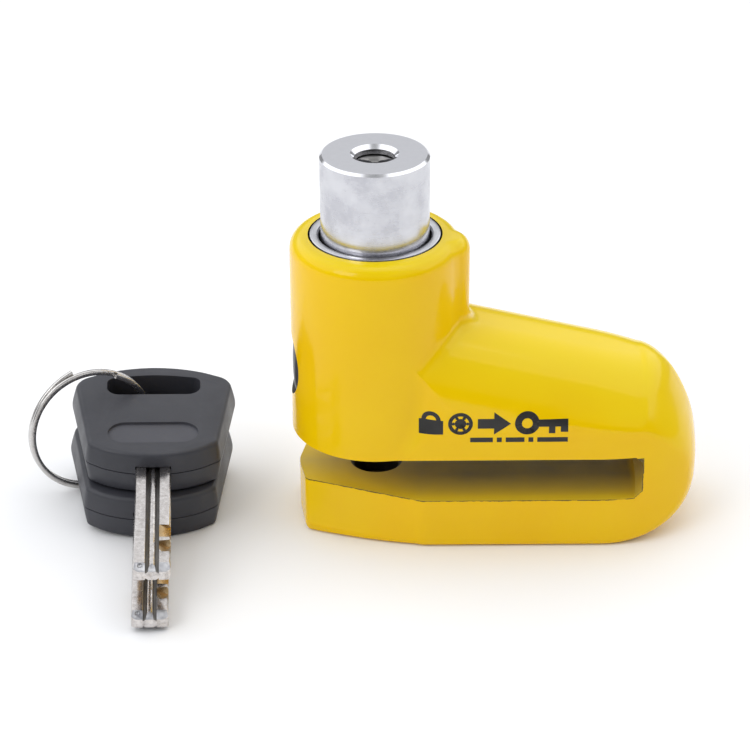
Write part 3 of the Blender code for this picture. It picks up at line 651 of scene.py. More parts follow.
class Field:
    """Distance field of the casting, whose zero surface is its skin. Works in millimetres."""

    TOWER_R, TOWER_FOOT_R, TOWER_TOP, RIM = 17.35, 17.6, 63.9, 3.0
    RIB_REACH, RIB_HALF, RIB_MID, RIB_CORNER, RIB_ROUND = 19.1, 5.4, -1.3, 5.0, 2.8
    RIB_FOOT, RIB_SUNK = 28.0, 0.05
    HALF, HEEL, SHOULDER, MID = 17.3, 67.7, 12.0, 16.0
    START, TOP_START, SLOPE = 1.0, 49.5, 0.2348
    HEEL_TOP_RUN, HEEL_BASE_RUN, HEEL_SIDE_RUN = 13.0, 20.5, 22.5
    HEEL_LOW, HEEL_HIGH, HEEL_HALF = 12.5, 14.0, 6.5
    TOP_ROUND, BASE_ROUND, HEEL_ROUND = 15.0, 1.2, 0.45
    ROUND_FROM, ROUND_RISE = 15.0, 17.0
    JAW_FLARE, JAW_KINK, JAW_REACH = 0.34, 8.0, 22.4
    JAW_BACK, JAW_KNEE, KNEE_ROUND, NOSE_ROUND = 30.0, 9.2, 5.0, 1.6
    FILLET, RIB_FILLET = 3.0, 3.4
    FINE_STEP, STEP = 0.02, 0.03
    JAW_CORNER, JAW_NOSE = (-14.8, 7.9), (-16.2, 2.0)

    def __init__(self) -> None:
        """Work out the side view's outline of the long body and the plan of the lower jaw."""
        run = np.sin(np.radians(np.linspace(0, 90, 19)))
        base_x = self.HEEL - self.HEEL_BASE_RUN * (1 - run)
        base_z = self.HEEL_LOW * (1 - np.sqrt(1 - run**2))
        top_x = self.HEEL - self.HEEL_TOP_RUN * (1 - run)
        top_end = self.TOP_START - self.SLOPE * (self.HEEL - self.HEEL_TOP_RUN - self.START)
        top_z = self.HEEL_HIGH + (top_end - self.HEEL_HIGH) * np.sqrt(1 - run**2)
        heel = [*zip(base_x, base_z), *zip(top_x[::-1], top_z[::-1])]
        front = [(self.START, self.MID), (self.SHOULDER, self.MID), (self.SHOULDER, 0.0)]
        self.side = np.array([*front, *heel, (self.START, self.TOP_START)])
        right = [(self.JAW_BACK, self.HALF)]
        right += cut_off(right, (self.JAW_KNEE, self.HALF), self.JAW_CORNER, self.KNEE_ROUND)
        right += cut_off(right, self.JAW_CORNER, self.JAW_NOSE, self.NOSE_ROUND)
        right.append((self.JAW_NOSE[0], self.JAW_NOSE[1] / 2))
        self.jaw = np.array([*right, *((x, -y) for x, y in reversed(right))])

    @staticmethod
    def outline(points: Array, a: Array, b: Array) -> Array:
        """Return the signed distance of places (a, b) to a closed outline, below zero inside."""
        near = np.full(a.shape, np.inf)
        inside = np.zeros(a.shape, bool)
        for (x0, y0), (x1, y1) in zip(points, np.roll(points, -1, 0)):
            dx, dy = x1 - x0, y1 - y0
            t = np.clip(((a - x0) * dx + (b - y0) * dy) / (dx * dx + dy * dy), 0, 1)
            near = np.minimum(near, (a - x0 - t * dx) ** 2 + (b - y0 - t * dy) ** 2)
            if dy != 0:
                crossed = (y0 > b) != (y1 > b)
                inside ^= crossed & (a < dx * (b - y0) / dy + x0)
        return np.sqrt(near) * np.where(inside, -1, 1)

    @staticmethod
    def meet(a: Array, b: Array, radius: object) -> Array:
        """Return where two fields overlap, with a rounded edge."""
        outer = np.hypot(np.maximum(a + radius, 0), np.maximum(b + radius, 0))
        return np.minimum(-radius, np.maximum(a, b)) + outer

    @staticmethod
    def unite(a: Array, b: Array, radius: object) -> Array:
        """Return two fields as one, with a hollow fillet between them."""
        inner = np.hypot(np.maximum(radius - a, 0), np.maximum(radius - b, 0))
        return np.maximum(radius, np.minimum(a, b)) - inner

    def edge_round(self, x: Array, z: Array) -> Array:
        """Return the long body's edge radius, small at the base and large at the top."""
        s = np.clip((x - self.HEEL + self.HEEL_BASE_RUN) / self.HEEL_BASE_RUN, 0, 0.98)
        low = self.BASE_ROUND + self.HEEL_ROUND * self.HEEL_LOW * (1 - np.sqrt(1 - s**2))
        t = np.clip((z - self.ROUND_FROM) / self.ROUND_RISE, 0, 1)
        t = t * t * (3 - 2 * t)
        return low + (self.TOP_ROUND - low) * t

    def long_body(self, x: Array, y: Array, z: Array) -> Array:
        """Return the field of the body from the tower to the heel."""
        s = np.clip((x - self.HEEL + self.HEEL_SIDE_RUN) / self.HEEL_SIDE_RUN, 0, 0.995)
        half = self.HEEL_HALF + (self.HALF - self.HEEL_HALF) * np.sqrt(1 - s**2)
        lean = (self.HALF - self.HEEL_HALF) * s / np.sqrt(1 - s**2) / self.HEEL_SIDE_RUN
        across = (np.abs(y) - half) / np.sqrt(1 + lean**2)
        return self.meet(across, self.outline(self.side, x, z), self.edge_round(x, z))

    def lower_jaw(self, x: Array, y: Array, z: Array) -> Array:
        """Return the field of the wedge-nosed jaw."""
        foot = np.clip(1 - z * MM / DISC_SLOT.low, 0, 1)
        flare = self.JAW_FLARE * np.clip((self.JAW_KINK - x) / self.JAW_REACH, 0, 1) * foot
        across = self.outline(self.jaw, x, y / (1 + flare))
        return self.meet(across, np.abs(z - self.MID / 2) - self.MID / 2, self.BASE_ROUND)

    def tower(self, x: Array, y: Array, z: Array) -> Array:
        """Return the field of the upright part."""
        share = (self.TOWER_TOP - z) / (self.TOWER_TOP - self.MID)
        across = np.hypot(x, y) - self.TOWER_R - (self.TOWER_FOOT_R - self.TOWER_R) * share
        up = np.maximum(z - self.TOWER_TOP, self.MID - z)
        return self.meet(across, up, self.RIM)

    def rib(self, x: Array, y: Array, z: Array) -> Array:
        """Return the field of the thick stretch of the tower's wall."""
        across = self.meet(x - self.RIB_REACH, np.abs(y - self.RIB_MID) - self.RIB_HALF, self.RIB_CORNER)
        across = np.maximum(across, -x)
        up = np.maximum(z - self.TOWER_TOP + self.RIB_SUNK, self.RIB_FOOT - z)
        return self.meet(across, up, self.RIB_ROUND)

    @staticmethod
    def slope(shape: Callable, x: Array, y: Array, z: Array, h: float, unit: bool) -> tuple[Array, Array]:
        """Return a field and its slope, or its unit slope, from small steps along each axis."""
        here = shape(x, y, z)
        steps = ((h, 0, 0), (0, h, 0), (0, 0, h))
        grad = np.stack([(shape(x + i, y + j, z + k) - here) / h for i, j, k in steps], 1)
        if unit:
            grad = grad / np.maximum(np.linalg.norm(grad, axis=1, keepdims=True), 1e-9)
        return here, grad

    def skin(self, x: Array, y: Array, z: Array) -> Array:
        """Return the field of the whole casting. Fillets fade where faces run on into each other."""
        (body, body_up), (tower, tower_up), (rib, rib_up) = (
            self.slope(shape, x, y, z, self.FINE_STEP, True)
            for shape in (self.long_body, self.tower, self.rib)
        )
        turn = np.clip(1.02 - (rib_up * tower_up).sum(1), 0.02, 1)
        upright = self.unite(tower, rib, self.RIB_FILLET * turn)
        up = np.where((rib < tower)[:, None], rib_up, tower_up)
        turn = np.clip(1.02 - (up * body_up).sum(1), 0.02, 1)
        whole = self.unite(upright, body, self.FILLET * turn)
        return np.minimum(whole, self.lower_jaw(x, y, z))

    def settle(self, places: Array, rounds: int = 3) -> Array:
        """Return places moved onto the skin."""
        for _ in range(rounds):
            value, grad = self.slope(self.skin, *places.T, self.STEP, False)
            steep = np.maximum((grad**2).sum(1, keepdims=True), 0.3)
            places = places - np.clip(value[:, None] * grad / steep, -0.6, 0.6)
        return places

    def across(self, places: Array, rounds: int = 12) -> Array:
        """Return places moved onto the skin along Y only."""
        places = places.copy()
        for _ in range(rounds):
            x, y, z = places.T
            value = self.skin(x, y, z)
            steep = np.minimum((self.skin(x, y + self.STEP, z) - value) / self.STEP, -0.3)
            places[:, 1] -= np.clip(value / steep, -0.8, 0.8)
        return places


@dataclass
class Casting:
    """The yellow casting: tower, long body with its heel, lower jaw, slot and bores."""

    voxel: float = 0.55 * MM
    rough_tower_r: Point2 = (17.4 * MM, 17.5 * MM)
    rough_rib: Box = ((0, -6 * MM, 28 * MM), (18.5 * MM, 4 * MM, 63.8 * MM))
    rough_jaw_spread: float = 1.14
    sleeve_r: float = 13.6 * MM
    sleeve_ledge: float = 47.0 * MM
    chamber_r: float = 12.6 * MM
    chamber_floor: float = 23.3 * MM
    pin_hole_r: float = 4.75 * MM
    socket_floor: float = 5.6 * MM
    side_hole_r: float = 7.4 * MM
    side_hole_z: float = 35.6 * MM
    side_hole_far: float = 21 * MM
    side_hole_near: float = 11 * MM
    feather_groove: Box = ((-1.65 * MM, 12.3 * MM, 24.7 * MM), (1.65 * MM, 14.4 * MM, 43.8 * MM))
    latch_pocket: Box = ((11.6 * MM, -3.7 * MM, 26.9 * MM), (14.8 * MM, 3.7 * MM, 31.9 * MM))
    top: float = 63.9 * MM
    socket_chamfer: float = 0.8 * MM

    def rough(self) -> Object:
        """Return the casting's rough block, evenly meshed."""
        skin, mid = Field(), Field.MID * MM
        side = [(x * MM, z * MM) for x, z in skin.side]
        body = moved(plate(side, -Field.HALF * MM, Field.HALF * MM), spun("X", 90))
        jaw = plate([(x * MM, y * self.rough_jaw_spread * MM) for x, y in skin.jaw], 0.0, mid)
        high_r, low_r = self.rough_tower_r
        tower = turned([(0, self.top), (high_r, self.top), (low_r, mid), (0, mid)], 64)
        shapes = (body, jaw, tower, block(*self.rough_rib))
        obj = to_object("lock_body_enamel", joined(shapes))
        remesh = obj.modifiers.new("even", "REMESH")
        remesh.mode = "VOXEL"
        remesh.voxel_size = self.voxel
        return settle(obj)

    def skin(self, obj: Object) -> Object:
        """Draw the rough block's vertices onto the casting's smooth skin."""
        skin = Field()
        for passes in (2, 2, 1, 0):
            places = np.array([v.co for v in obj.data.vertices]) / MM
            obj.data.vertices.foreach_set("co", (skin.settle(places) * MM).ravel())
            bm = bmesh.new()
            bm.from_mesh(obj.data)
            for _ in range(passes):
                bmesh.ops.smooth_vert(
                    bm, verts=bm.verts, factor=0.5, use_axis_x=True, use_axis_y=True, use_axis_z=True
                )
            bm.to_mesh(obj.data)
            bm.free()
        obj.data.update()
        return obj

    def slot_cutter(self) -> Shape:
        """Return the cutter of the slot for the brake disc."""
        slot = DISC_SLOT
        flat = slot.end_r - slot.chamfer
        profile = [
            (0.0, slot.high), (flat, slot.high), (slot.end_r, slot.high - slot.chamfer),
            (slot.end_r, slot.low + slot.chamfer), (flat, slot.low), (0.0, slot.low),
        ]
        return moved(turned(profile, 720), Matrix.Translation((slot.end_x - slot.end_r, 0, 0)))

    def bore_cutters(self) -> list[Shape]:
        """Return the cutters of the plunger's stepped bore, the pin's socket and the side hole."""
        slot, pin_r, wide_r = DISC_SLOT, self.pin_hole_r, self.pin_hole_r + self.socket_chamfer
        stepped = [
            (0.0, self.top + PAST), (self.sleeve_r, self.top + PAST), (self.sleeve_r, self.sleeve_ledge),
            (self.chamber_r, self.sleeve_ledge), (self.chamber_r, self.chamber_floor),
            (pin_r, self.chamber_floor), (pin_r, slot.high - PAST), (0.0, slot.high - PAST),
        ]
        mid, mouth = (slot.low + slot.high) / 2, slot.low + 0.01 * MM
        socket = [
            (0.0, mid), (wide_r, mid), (wide_r, mouth), (pin_r, mouth - self.socket_chamfer),
            (pin_r, self.socket_floor), (0.0, self.socket_floor),
        ]
        far, near = self.side_hole_far, self.side_hole_near
        out = [(0.0, far), (self.side_hole_r, far), (self.side_hole_r, near), (0.0, near)]
        place = Matrix.Translation((0, 0, self.side_hole_z)) @ spun("Y", -90)
        side_hole = moved(turned(out, 64), place)
        shapes = [turned(stepped, 96), turned(socket, 64), side_hole]
        return shapes + [block(*self.feather_groove), block(*self.latch_pocket)]

    def build(self, finishes: Finishes) -> Object:
        """Make the casting and put it on the housing.

        Args:
            finishes: The lock's materials.

        Returns:
            The finished piece.
        """
        obj = self.skin(self.rough())
        obj.data.materials.clear()
        obj.data.materials.append(finishes.enamel)
        cut(obj, [self.slot_cutter()], finishes.slot_enamel)
        cut(obj, self.bore_cutters(), finishes.casting)
        obj.data.shade_smooth()
        obj.data.set_sharp_from_angle(angle=math.radians(35))
        return fit(obj, Body.HOUSING, Slot.ENAMEL, "lock_body")


# ---------------------------------------------------------------- housing fittings


@dataclass
class Fittings:
    """Pieces fixed in the casting: guide sleeve, side plug, feather key and return spring."""

    bore_r: float = 11.35 * MM
    sleeve_r: float = 13.3 * MM
    sleeve_low: float = 47.3 * MM
    sleeve_top: float = 64.1 * MM
    plug_r: float = 7.2 * MM
    plug_crown: float = 17.2 * MM
    plug_depth: float = 4.1 * MM
    plug_z: float = 35.6 * MM
    spring_r: float = 6.45 * MM
    spring_wire_r: float = 0.35 * MM
    spring_low: float = 23.6 * MM
    spring_high: float = 40.0 * MM
    spring_turns: int = 4
    spring_steps: int = 40
    travel: float = 13.6 * MM

    def sleeve(self, finishes: Finishes) -> None:
        """Make the bright sleeve that guides the plunger."""
        bevel, inner, outer, top = 0.35 * MM, self.bore_r, self.sleeve_r, self.sleeve_top
        profile = [
            (inner, top - 2 * bevel), (inner + 0.12 * MM, top - 1.1 * bevel),
            (inner + bevel, top - 0.25 * bevel), (inner + 1.4 * bevel, top), (outer - bevel, top),
            (outer - 0.3 * bevel, top - 0.3 * bevel), (outer, top - bevel),
            (outer, self.sleeve_low), (inner, self.sleeve_low),
        ]
        obj = settle(to_object("guide_sleeve_ring", turned(profile, 160, ring=True), finishes.chrome))
        fit(obj, Body.HOUSING, Slot.CHROME, "guide_sleeve")

    def plug(self, finishes: Finishes) -> None:
        """Make the domed plug in the tower's side."""
        rise = 1.1 * MM
        angles = [math.radians(a) for a in range(0, 86, 9)]
        dome = [(self.plug_r * math.sin(a), self.plug_crown - rise * (1 - math.cos(a))) for a in angles]
        rim = self.plug_crown - rise * 1.25
        foot = self.plug_crown - self.plug_depth
        bm = turned([*dome, (self.plug_r, rim), (self.plug_r, foot), (0.0, foot)], 96)
        moved(bm, Matrix.Translation((0, 0, self.plug_z)) @ spun("Y", -90))
        obj = settle(to_object("side_plug_dome", bm, finishes.black_plastic))
        fit(obj, Body.HOUSING, Slot.BLACK_PLASTIC, "side_plug")

    def spring(self, finishes: Finishes) -> None:
        """Make the return spring from one round face."""
        wire, high, steps = self.spring_wire_r, self.spring_high - FIT, self.spring_turns * self.spring_steps
        bm = bmesh.new()
        disc = bmesh.ops.create_circle(bm, cap_ends=True, segments=12, radius=wire)
        upright = Matrix.Translation((self.spring_r, 0, self.spring_low + wire)) @ spun("X", 90)
        bmesh.ops.transform(bm, matrix=upright, verts=disc["verts"])
        rise = (high - self.spring_low - 2 * wire) / steps
        bmesh.ops.spin(
            bm, geom=[*bm.faces, *bm.edges, *bm.verts], cent=(0, 0, 0), axis=(0, 0, 1),
            dvec=(0, 0, rise), angle=TURN * self.spring_turns, steps=steps,
        )
        obj = settle(to_object("return_spring_coil", faced(bm), finishes.steel))
        fit(obj, Body.HOUSING, Slot.STEEL, "return_spring")
        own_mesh(obj)

    def build(self, finishes: Finishes) -> None:
        """Make every fitting."""
        self.sleeve(finishes)
        self.plug(finishes)
        self.spring(finishes)
        dress(finishes.steel, "feather_key")


@dataclass
class Pictograms:
    """Dark printed signs on the body's front: padlock, brake disc, arrow and key over a broken rule."""

    left: float = 8.6 * MM
    foot: float = 26.9 * MM
    face: float = -17.3 * MM
    proud: float = 0.035 * MM

    def bar(self, low: Point2, high: Point2) -> Shape:
        """Return a bar between two corners, in millimetres."""
        return block((low[0] * MM, low[1] * MM, 0.0), (high[0] * MM, high[1] * MM, 1.0 * MM))

    def ring(self, middle: Point2, outer: float, inner: float = 0.0001, sweep: float = 360.0) -> Shape:
        """Return a ring or a part of one, in millimetres and degrees."""
        bm = bmesh.new()
        section = ((outer, 1.0), (outer, 0.0), (inner, 0.0), (inner, 1.0))
        face = bm.faces.new([bm.verts.new((r * MM, 0, z * MM)) for r, z in section])
        whole = sweep >= 360
        bmesh.ops.spin(
            bm, geom=[face, *face.edges, *face.verts], cent=(0, 0, 0), axis=(0, 0, 1),
            angle=math.radians(sweep), steps=48, use_merge=whole,
        )
        if whole:
            bmesh.ops.delete(bm, geom=[face], context="FACES_ONLY")
            bmesh.ops.remove_doubles(bm, verts=bm.verts, dist=0.001 * MM)
        faced(bm)
        return moved(bm, Matrix.Translation((middle[0] * MM, middle[1] * MM, 0)))

    def signs(self) -> list[Shape]:
        """Return the signs, laid out from left to right."""
        lock = [self.bar((0.0, 0.0), (4.9, 3.1)), self.ring((2.45, 3.0), 1.95, 1.05, 180)]
        hub, pitch, hole = (8.4, 2.45), 1.45, 0.33
        disc = [self.ring(hub, 2.5, 1.75), self.ring(hub, 1.15)]
        turns = np.arange(6) * TURN / 6
        disc += [self.ring((hub[0] + pitch * math.cos(a), hub[1] + pitch * math.sin(a)), hole) for a in turns]
        left, neck, tip, middle, half, barb = 11.9, 15.2, 18.6, 2.45, 1.1, 2.5
        lower = [(left, middle - half), (neck, middle - half), (neck, middle - barb), (tip, middle)]
        points = lower + [(x, 2 * middle - y) for x, y in reversed(lower[:-1])]
        arrow = [plate([(x * MM, y * MM) for x, y in points], 0.0, 1.0 * MM)]
        key = [self.ring((21.9, middle), 2.5, 1.1), self.bar((24.2, 1.7), (30.2, 3.2))]
        key += [self.bar((26.3, 0.2), (27.6, 1.8)), self.bar((28.7, 0.5), (30.2, 1.8))]
        dashes = ((10.4, 4.6), (15.8, 1.0), (17.6, 3.8), (22.2, 1.0), (24.0, 6.2))
        rule = [self.bar((x, -1.8), (x + wide, -0.75)) for x, wide in dashes]
        return lock + disc + arrow + key + rule

    def build(self, finishes: Finishes) -> None:
        """Make the print and put it on the housing."""
        bm = joined(self.signs())
        for axis, step, count in ((0, 1.0, 31), (1, 0.5, 14)):
            for i in range(count):
                place = [0.0, 0.0, 0.0]
                place[axis] = (i * step + 0.25 - (2.0 if axis else 0.0)) * MM
                way = [float(k == axis) for k in range(3)]
                whole = [*bm.verts, *bm.edges, *bm.faces]
                bmesh.ops.bisect_plane(bm, geom=whole, plane_co=place, plane_no=way)
        flat = np.array([(v.co.x + self.left, self.face, v.co.y + self.foot) for v in bm.verts])
        for v, spot in zip(bm.verts, Field().across(flat / MM) * MM):
            lift = -self.proud if v.co.z > 0.5 * MM else 3 * self.proud
            v.co = (spot[0], spot[1] + lift, spot[2])
        faced(bm)
        fit(settle(to_object("printed_signs", bm, finishes.ink)), Body.HOUSING, Slot.ENAMEL)


# ---------------------------------------------------------------- plunger and cylinder


@dataclass
class Plunger:
    """The plunger's shell with the lock pin in its foot."""

    radius: float = 11.0 * MM
    top: float = 81.2 * MM
    chamfer: float = 0.5 * MM
    flange_r: float = 12.2 * MM
    flange_top: float = 46.9 * MM
    skirt_low: float = 37.3 * MM
    cavity_r: float = 8.6 * MM
    cavity_top: float = 79.4 * MM
    mouth_r: float = 4.1 * MM
    mouth_chamfer: float = 0.8 * MM
    pin_r: float = 4.45 * MM
    pin_top: float = 40.4 * MM
    pin_tip: float = 21.3 * MM
    feather_notch: Box = ((-1.65 * MM, 10.95 * MM, 34 * MM), (1.65 * MM, 15.2 * MM, 49.9 * MM))
    latch_window: Box = ((7.6 * MM, -3.7 * MM, 40.8 * MM), (15.2 * MM, 3.7 * MM, 45.2 * MM))
    cross_hole: tuple[float, float, float] = (0.95 * MM, 7.0 * MM, 39.1 * MM)

    def shell(self, finishes: Finishes) -> None:
        """Make the satin shell with its bright edges."""
        c, m, mouth = self.chamfer, self.mouth_chamfer, self.mouth_r
        profile = [
            (mouth + m, self.top), (self.radius - c, self.top), (self.radius, self.top - c),
            (self.radius, self.flange_top), (self.flange_r, self.flange_top),
            (self.flange_r, self.skirt_low), (self.cavity_r, self.skirt_low),
            (self.cavity_r, self.cavity_top), (mouth, self.cavity_top), (mouth, self.top - m),
        ]
        bm = turned(profile, 160, ring=True)
        for face in bm.faces:
            if face.calc_center_median().z > self.top - m:
                face.material_index = 2 if face.normal.z > 0.97 else int(face.normal.z > 0.15)
        obj = to_object("plunger_shell_satin", bm, finishes.chrome, finishes.polished, finishes.ground)
        cut(obj, [block(*self.feather_notch), block(*self.latch_window)], finishes.steel)
        fit(obj, Body.PLUNGER, Slot.CHROME, "plunger_shell")

    def pin(self, finishes: Finishes) -> None:
        """Make the lock pin with its eased tip."""
        tip, r = self.pin_tip, self.pin_r
        profile = [
            (0.0, self.pin_top), (r, self.pin_top), (r, tip + 1.1 * MM), (r - 0.12 * MM, tip + 0.75 * MM),
            (r - 0.8 * MM, tip + 0.08 * MM), (r - 1.1 * MM, tip), (0.0, tip),
        ]
        obj = to_object("lock_pin_hardened", turned(profile, 96), finishes.polished)
        wide, far, height = self.cross_hole
        place = Matrix.Translation((0, 0, height)) @ spun("X", 90)
        hole = turned([(0, far), (wide, far), (wide, -far), (0, -far)], 24)
        cut(obj, [moved(hole, place)], finishes.steel)
        fit(obj, Body.PLUNGER, Slot.STEEL, "lock_pin")

    def build(self, finishes: Finishes) -> None:
        """Make the plunger's pieces and dress the ones inside."""
        self.shell(finishes)
        self.pin(finishes)
        dress(finishes.steel, "pin_carrier", "cross_pin", "latch_spring")


@dataclass
class Cylinder:
    """The rotor's face with its keyway, and the disc stack behind it."""

    face_r: float = 6.6 * MM
    face_low: float = 77.2 * MM
    face_top: float = 79.1 * MM
    keyway_half: float = 3.9 * MM
    keyway_tall: float = 2.15 * MM
    step: float = 0.75 * MM

    def keyway(self) -> Shape:
        """Return the cutter of the zig-zag keyway."""
        a, b, s = self.keyway_half, self.keyway_tall, self.step
        e, n, w = 0.4 * MM, 0.55 * MM, 1.1 * MM
        outline = [
            (a, s - b), (a, b - 0.3 * MM), (a - e, b), (w, b), (n, b - s), (-n, b - s), (-w, b), (e - a, b),
            (-a, b - e), (-a, 0.3 * MM - b), (e - a, -b), (-w, -b), (-n, s - b), (n, s - b), (w, -b),
            (a - 0.7 * MM, -b),
        ]
        return plate(outline, self.face_low - PAST, self.face_top + PAST)

    def build(self, finishes: Finishes) -> None:
        """Make the face and dress the pieces behind it."""
        r, top = self.face_r, self.face_top
        dish = 0.35 * MM
        profile = [
            (0.0, top - dish), (2.2 * MM, top - dish), (3.3 * MM, top - 0.1 * MM),
            (3.5 * MM, top - 0.02 * MM), (r - 0.2 * MM, top), (r, top - 0.2 * MM),
            (r, self.face_low), (0.0, self.face_low),
        ]
        obj = to_object("rotor_face_plate", turned(profile, 96), finishes.groove)
        cut(obj, [self.keyway()], finishes.steel)
        eased(obj, 0.08 * MM, segments=2)
        fit(obj, Body.ROTOR, Slot.STEEL, "rotor_face")
        discs, spacers = (
            [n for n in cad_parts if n.startswith(kind)] for kind in ("detainer_disc", "disc_spacer")
        )
        dress(finishes.brass, "rotor_drum", *discs)
        dress(finishes.steel, "sidebar", *spacers, "latch_bolt")


# ---------------------------------------------------------------- keys and ring


@dataclass
class Key:
    """One key: a nickel-plated blade with cut rails in a two-part moulded head."""

    name: str
    body: Body
    front: Vector
    turn: Point3 = (4.6, 2.2, 4.2)
    half_thick: float = 4.75 * MM
    front_half: float = 13.9 * MM
    front_y: float = 4.9 * MM
    back_half: float = 18.0 * MM
    back_y: float = 29.3 * MM
    front_r: float = 23.0 * MM
    back_r: float = 32.0 * MM
    back_crown: float = 34.7 * MM
    eye_front: float = 23.2 * MM
    eye_crown: float = 30.7 * MM
    eye_half: float = 10.0 * MM
    label_half: float = 9.45 * MM
    label_r: float = 3.75 * MM
    label_y: float = 8.8 * MM
    label_depth: float = 0.6 * MM
    blade_half: float = 3.65 * MM
    blade_thick: float = 1.8 * MM
    reach: float = 34.2 * MM
    tang: float = 13.0 * MM
    blade_gap: float = 0.04 * MM
    parting: float = FIT / 2 - 0.05 * MM
    taper: float = 0.04
    ramp_run: float = 2.3 * MM
    ramp_angle: float = 22.0
    pit: Point2 = (-2.35 * MM, 1.5 * MM)
    pit_r: float = 0.62 * MM
    cuts: tuple[tuple[float, ...], ...] = ((-23.6, -19.6, 20.0, 8.0), (-28.6, -25.0, 24.0, -14.0))

    @property
    def place(self) -> Matrix:
        """Where the key lies, from its own frame with the head's front centre at the origin."""
        turn = Euler([math.radians(a) for a in self.turn])
        return Matrix.Translation(self.front) @ turn.to_matrix().to_4x4()

    def head_outline(self) -> list[Point2]:
        """Return the head's outline at its parting line."""
        turn = math.degrees(math.asin(self.front_half * 0.85 / self.front_r))
        front = arc((0.0, self.front_r), self.front_r, -90, -90 + turn, 10)
        corner, shoulder = (self.front_half, self.front_y), (self.back_half, self.back_y)
        turn = math.degrees(math.asin(self.back_half * 0.72 / self.back_r))
        back = arc((0.0, self.back_crown - self.back_r), self.back_r, 90 - turn, 90, 12)
        right = front[:-1] + cut_off(front, corner, shoulder, 2.5 * MM, 8)
        right += cut_off([corner], shoulder, back[0], 4.5 * MM, 10) + back[1:]
        return mirrored(right, shared=True)

    def eye_outline(self) -> list[Point2]:
        """Return the outline of the eye that the ring passes through."""
        turn = math.degrees(math.asin(self.eye_half * 0.75 / self.back_r))
        back = arc((0.0, self.eye_crown - self.back_r), self.back_r, 90 - turn, 90, 8)
        middle = (self.eye_half, (self.eye_front + back[0][1]) / 2)
        right = cut_off([(0.0, self.eye_front)], (self.eye_half, self.eye_front), middle, 2.8 * MM, 8)
        right += cut_off([middle], (self.eye_half, back[0][1] - 0.2 * MM), back[0], 1.9 * MM, 6) + back[1:]
        return right + [(-x, y) for x, y in reversed(right[:-1])]

    def label_outline(self) -> list[Point2]:
        """Return the outline of the long shallow recess."""
        reach = self.label_half - self.label_r
        right = arc((reach, self.label_y), self.label_r, -90, 90, 16)
        return mirrored(right)

    def cover(self, side: int) -> Shape:
        """Return one half of the head's blank, with its flank drawn in and its crown rounded."""
        bm = bmesh.new()
        base = bm.faces.new([bm.verts.new((x, y, self.parting)) for x, y in self.head_outline()])
        if base.normal.z < 0:
            base.normal_flip()
        land, crown = 0.35 * MM, (1.0 if side > 0 else 0.6) * MM
        top = grow(bm, base, land)
        flank = self.half_thick - self.parting - land - crown
        for share in range(4):
            bmesh.ops.inset_region(
                bm, faces=top, thickness=(0.04 + 0.03 * share) * MM, depth=flank / 4, use_even_offset=True
            )
        for i in range(6):
            first, second = math.radians(90 * i / 6), math.radians(90 * (i + 1) / 6)
            bmesh.ops.inset_region(
                bm, faces=top, thickness=crown * (math.cos(first) - math.cos(second)),
                depth=crown * (math.sin(second) - math.sin(first)), use_even_offset=True,
            )
        for v in bm.verts:
            rise = max(0.0, v.co.z - land) / self.half_thick
            v.co.x *= 1 - self.taper * rise * v.co.y / self.back_y
        if side < 0:
            bmesh.ops.scale(bm, vec=(1.0, 1.0, -1.0), verts=bm.verts)
        return faced(bm)

    def head(self, finishes: Finishes) -> None:
        """Make the head's two covers."""
        for side, word in ((1, "upper"), (-1, "lower")):
            obj = to_object(f"{self.name}_head_{word}", self.cover(side), finishes.key_plastic)
            far = self.half_thick + PAST
            eye = plate(self.eye_outline(), -far, far)
            wide, thick = self.blade_half + self.blade_gap, self.blade_thick + self.blade_gap
            room = block((-wide, -PAST, -thick), (wide, self.tang + FIT, thick))
            floor = self.half_thick - self.label_depth
            heights = sorted((floor * side, far * side))
            cut(obj, [eye, room], finishes.key_plastic)
            cut(obj, [plate(self.label_outline(), *heights)], finishes.label)
            eased(obj, 0.32 * MM, 38, 3)
            obj.data.transform(self.place)
            fit(obj, self.body, Slot.KEY_PLASTIC, f"{self.name}_cover_{word}")

    def blade_outline(self) -> list[Point2]:
        """Return the blade's cross-section as (x, z) points: rails outside and a round rib between."""
        edge, thick = self.blade_half - 0.28 * MM, self.blade_thick
        rib_top, web, rib_r, rail = thick - 0.1 * MM, 0.55 * MM, 0.76 * MM, 1.36 * MM
        angles = [math.radians(a) for a in (90, 60, 30, 0)]
        rib = [(rib_r * math.sin(a), rib_top - rib_r * (1 - math.cos(a))) for a in angles]
        quarter = [
            (self.blade_half, 0.0), (self.blade_half, thick - 0.6 * MM), (edge, thick),
            (rail + 0.08 * MM, thick), (rail, thick - 0.08 * MM), (rail, web), *rib,
        ]
        quarter = [q for q in quarter if q[0] > 0]
        upper = quarter + [(0.0, rib_top)] + [(-x, z) for x, z in reversed(quarter)]
        return upper + [(-x, -z) for x, z in upper[1:-1]]

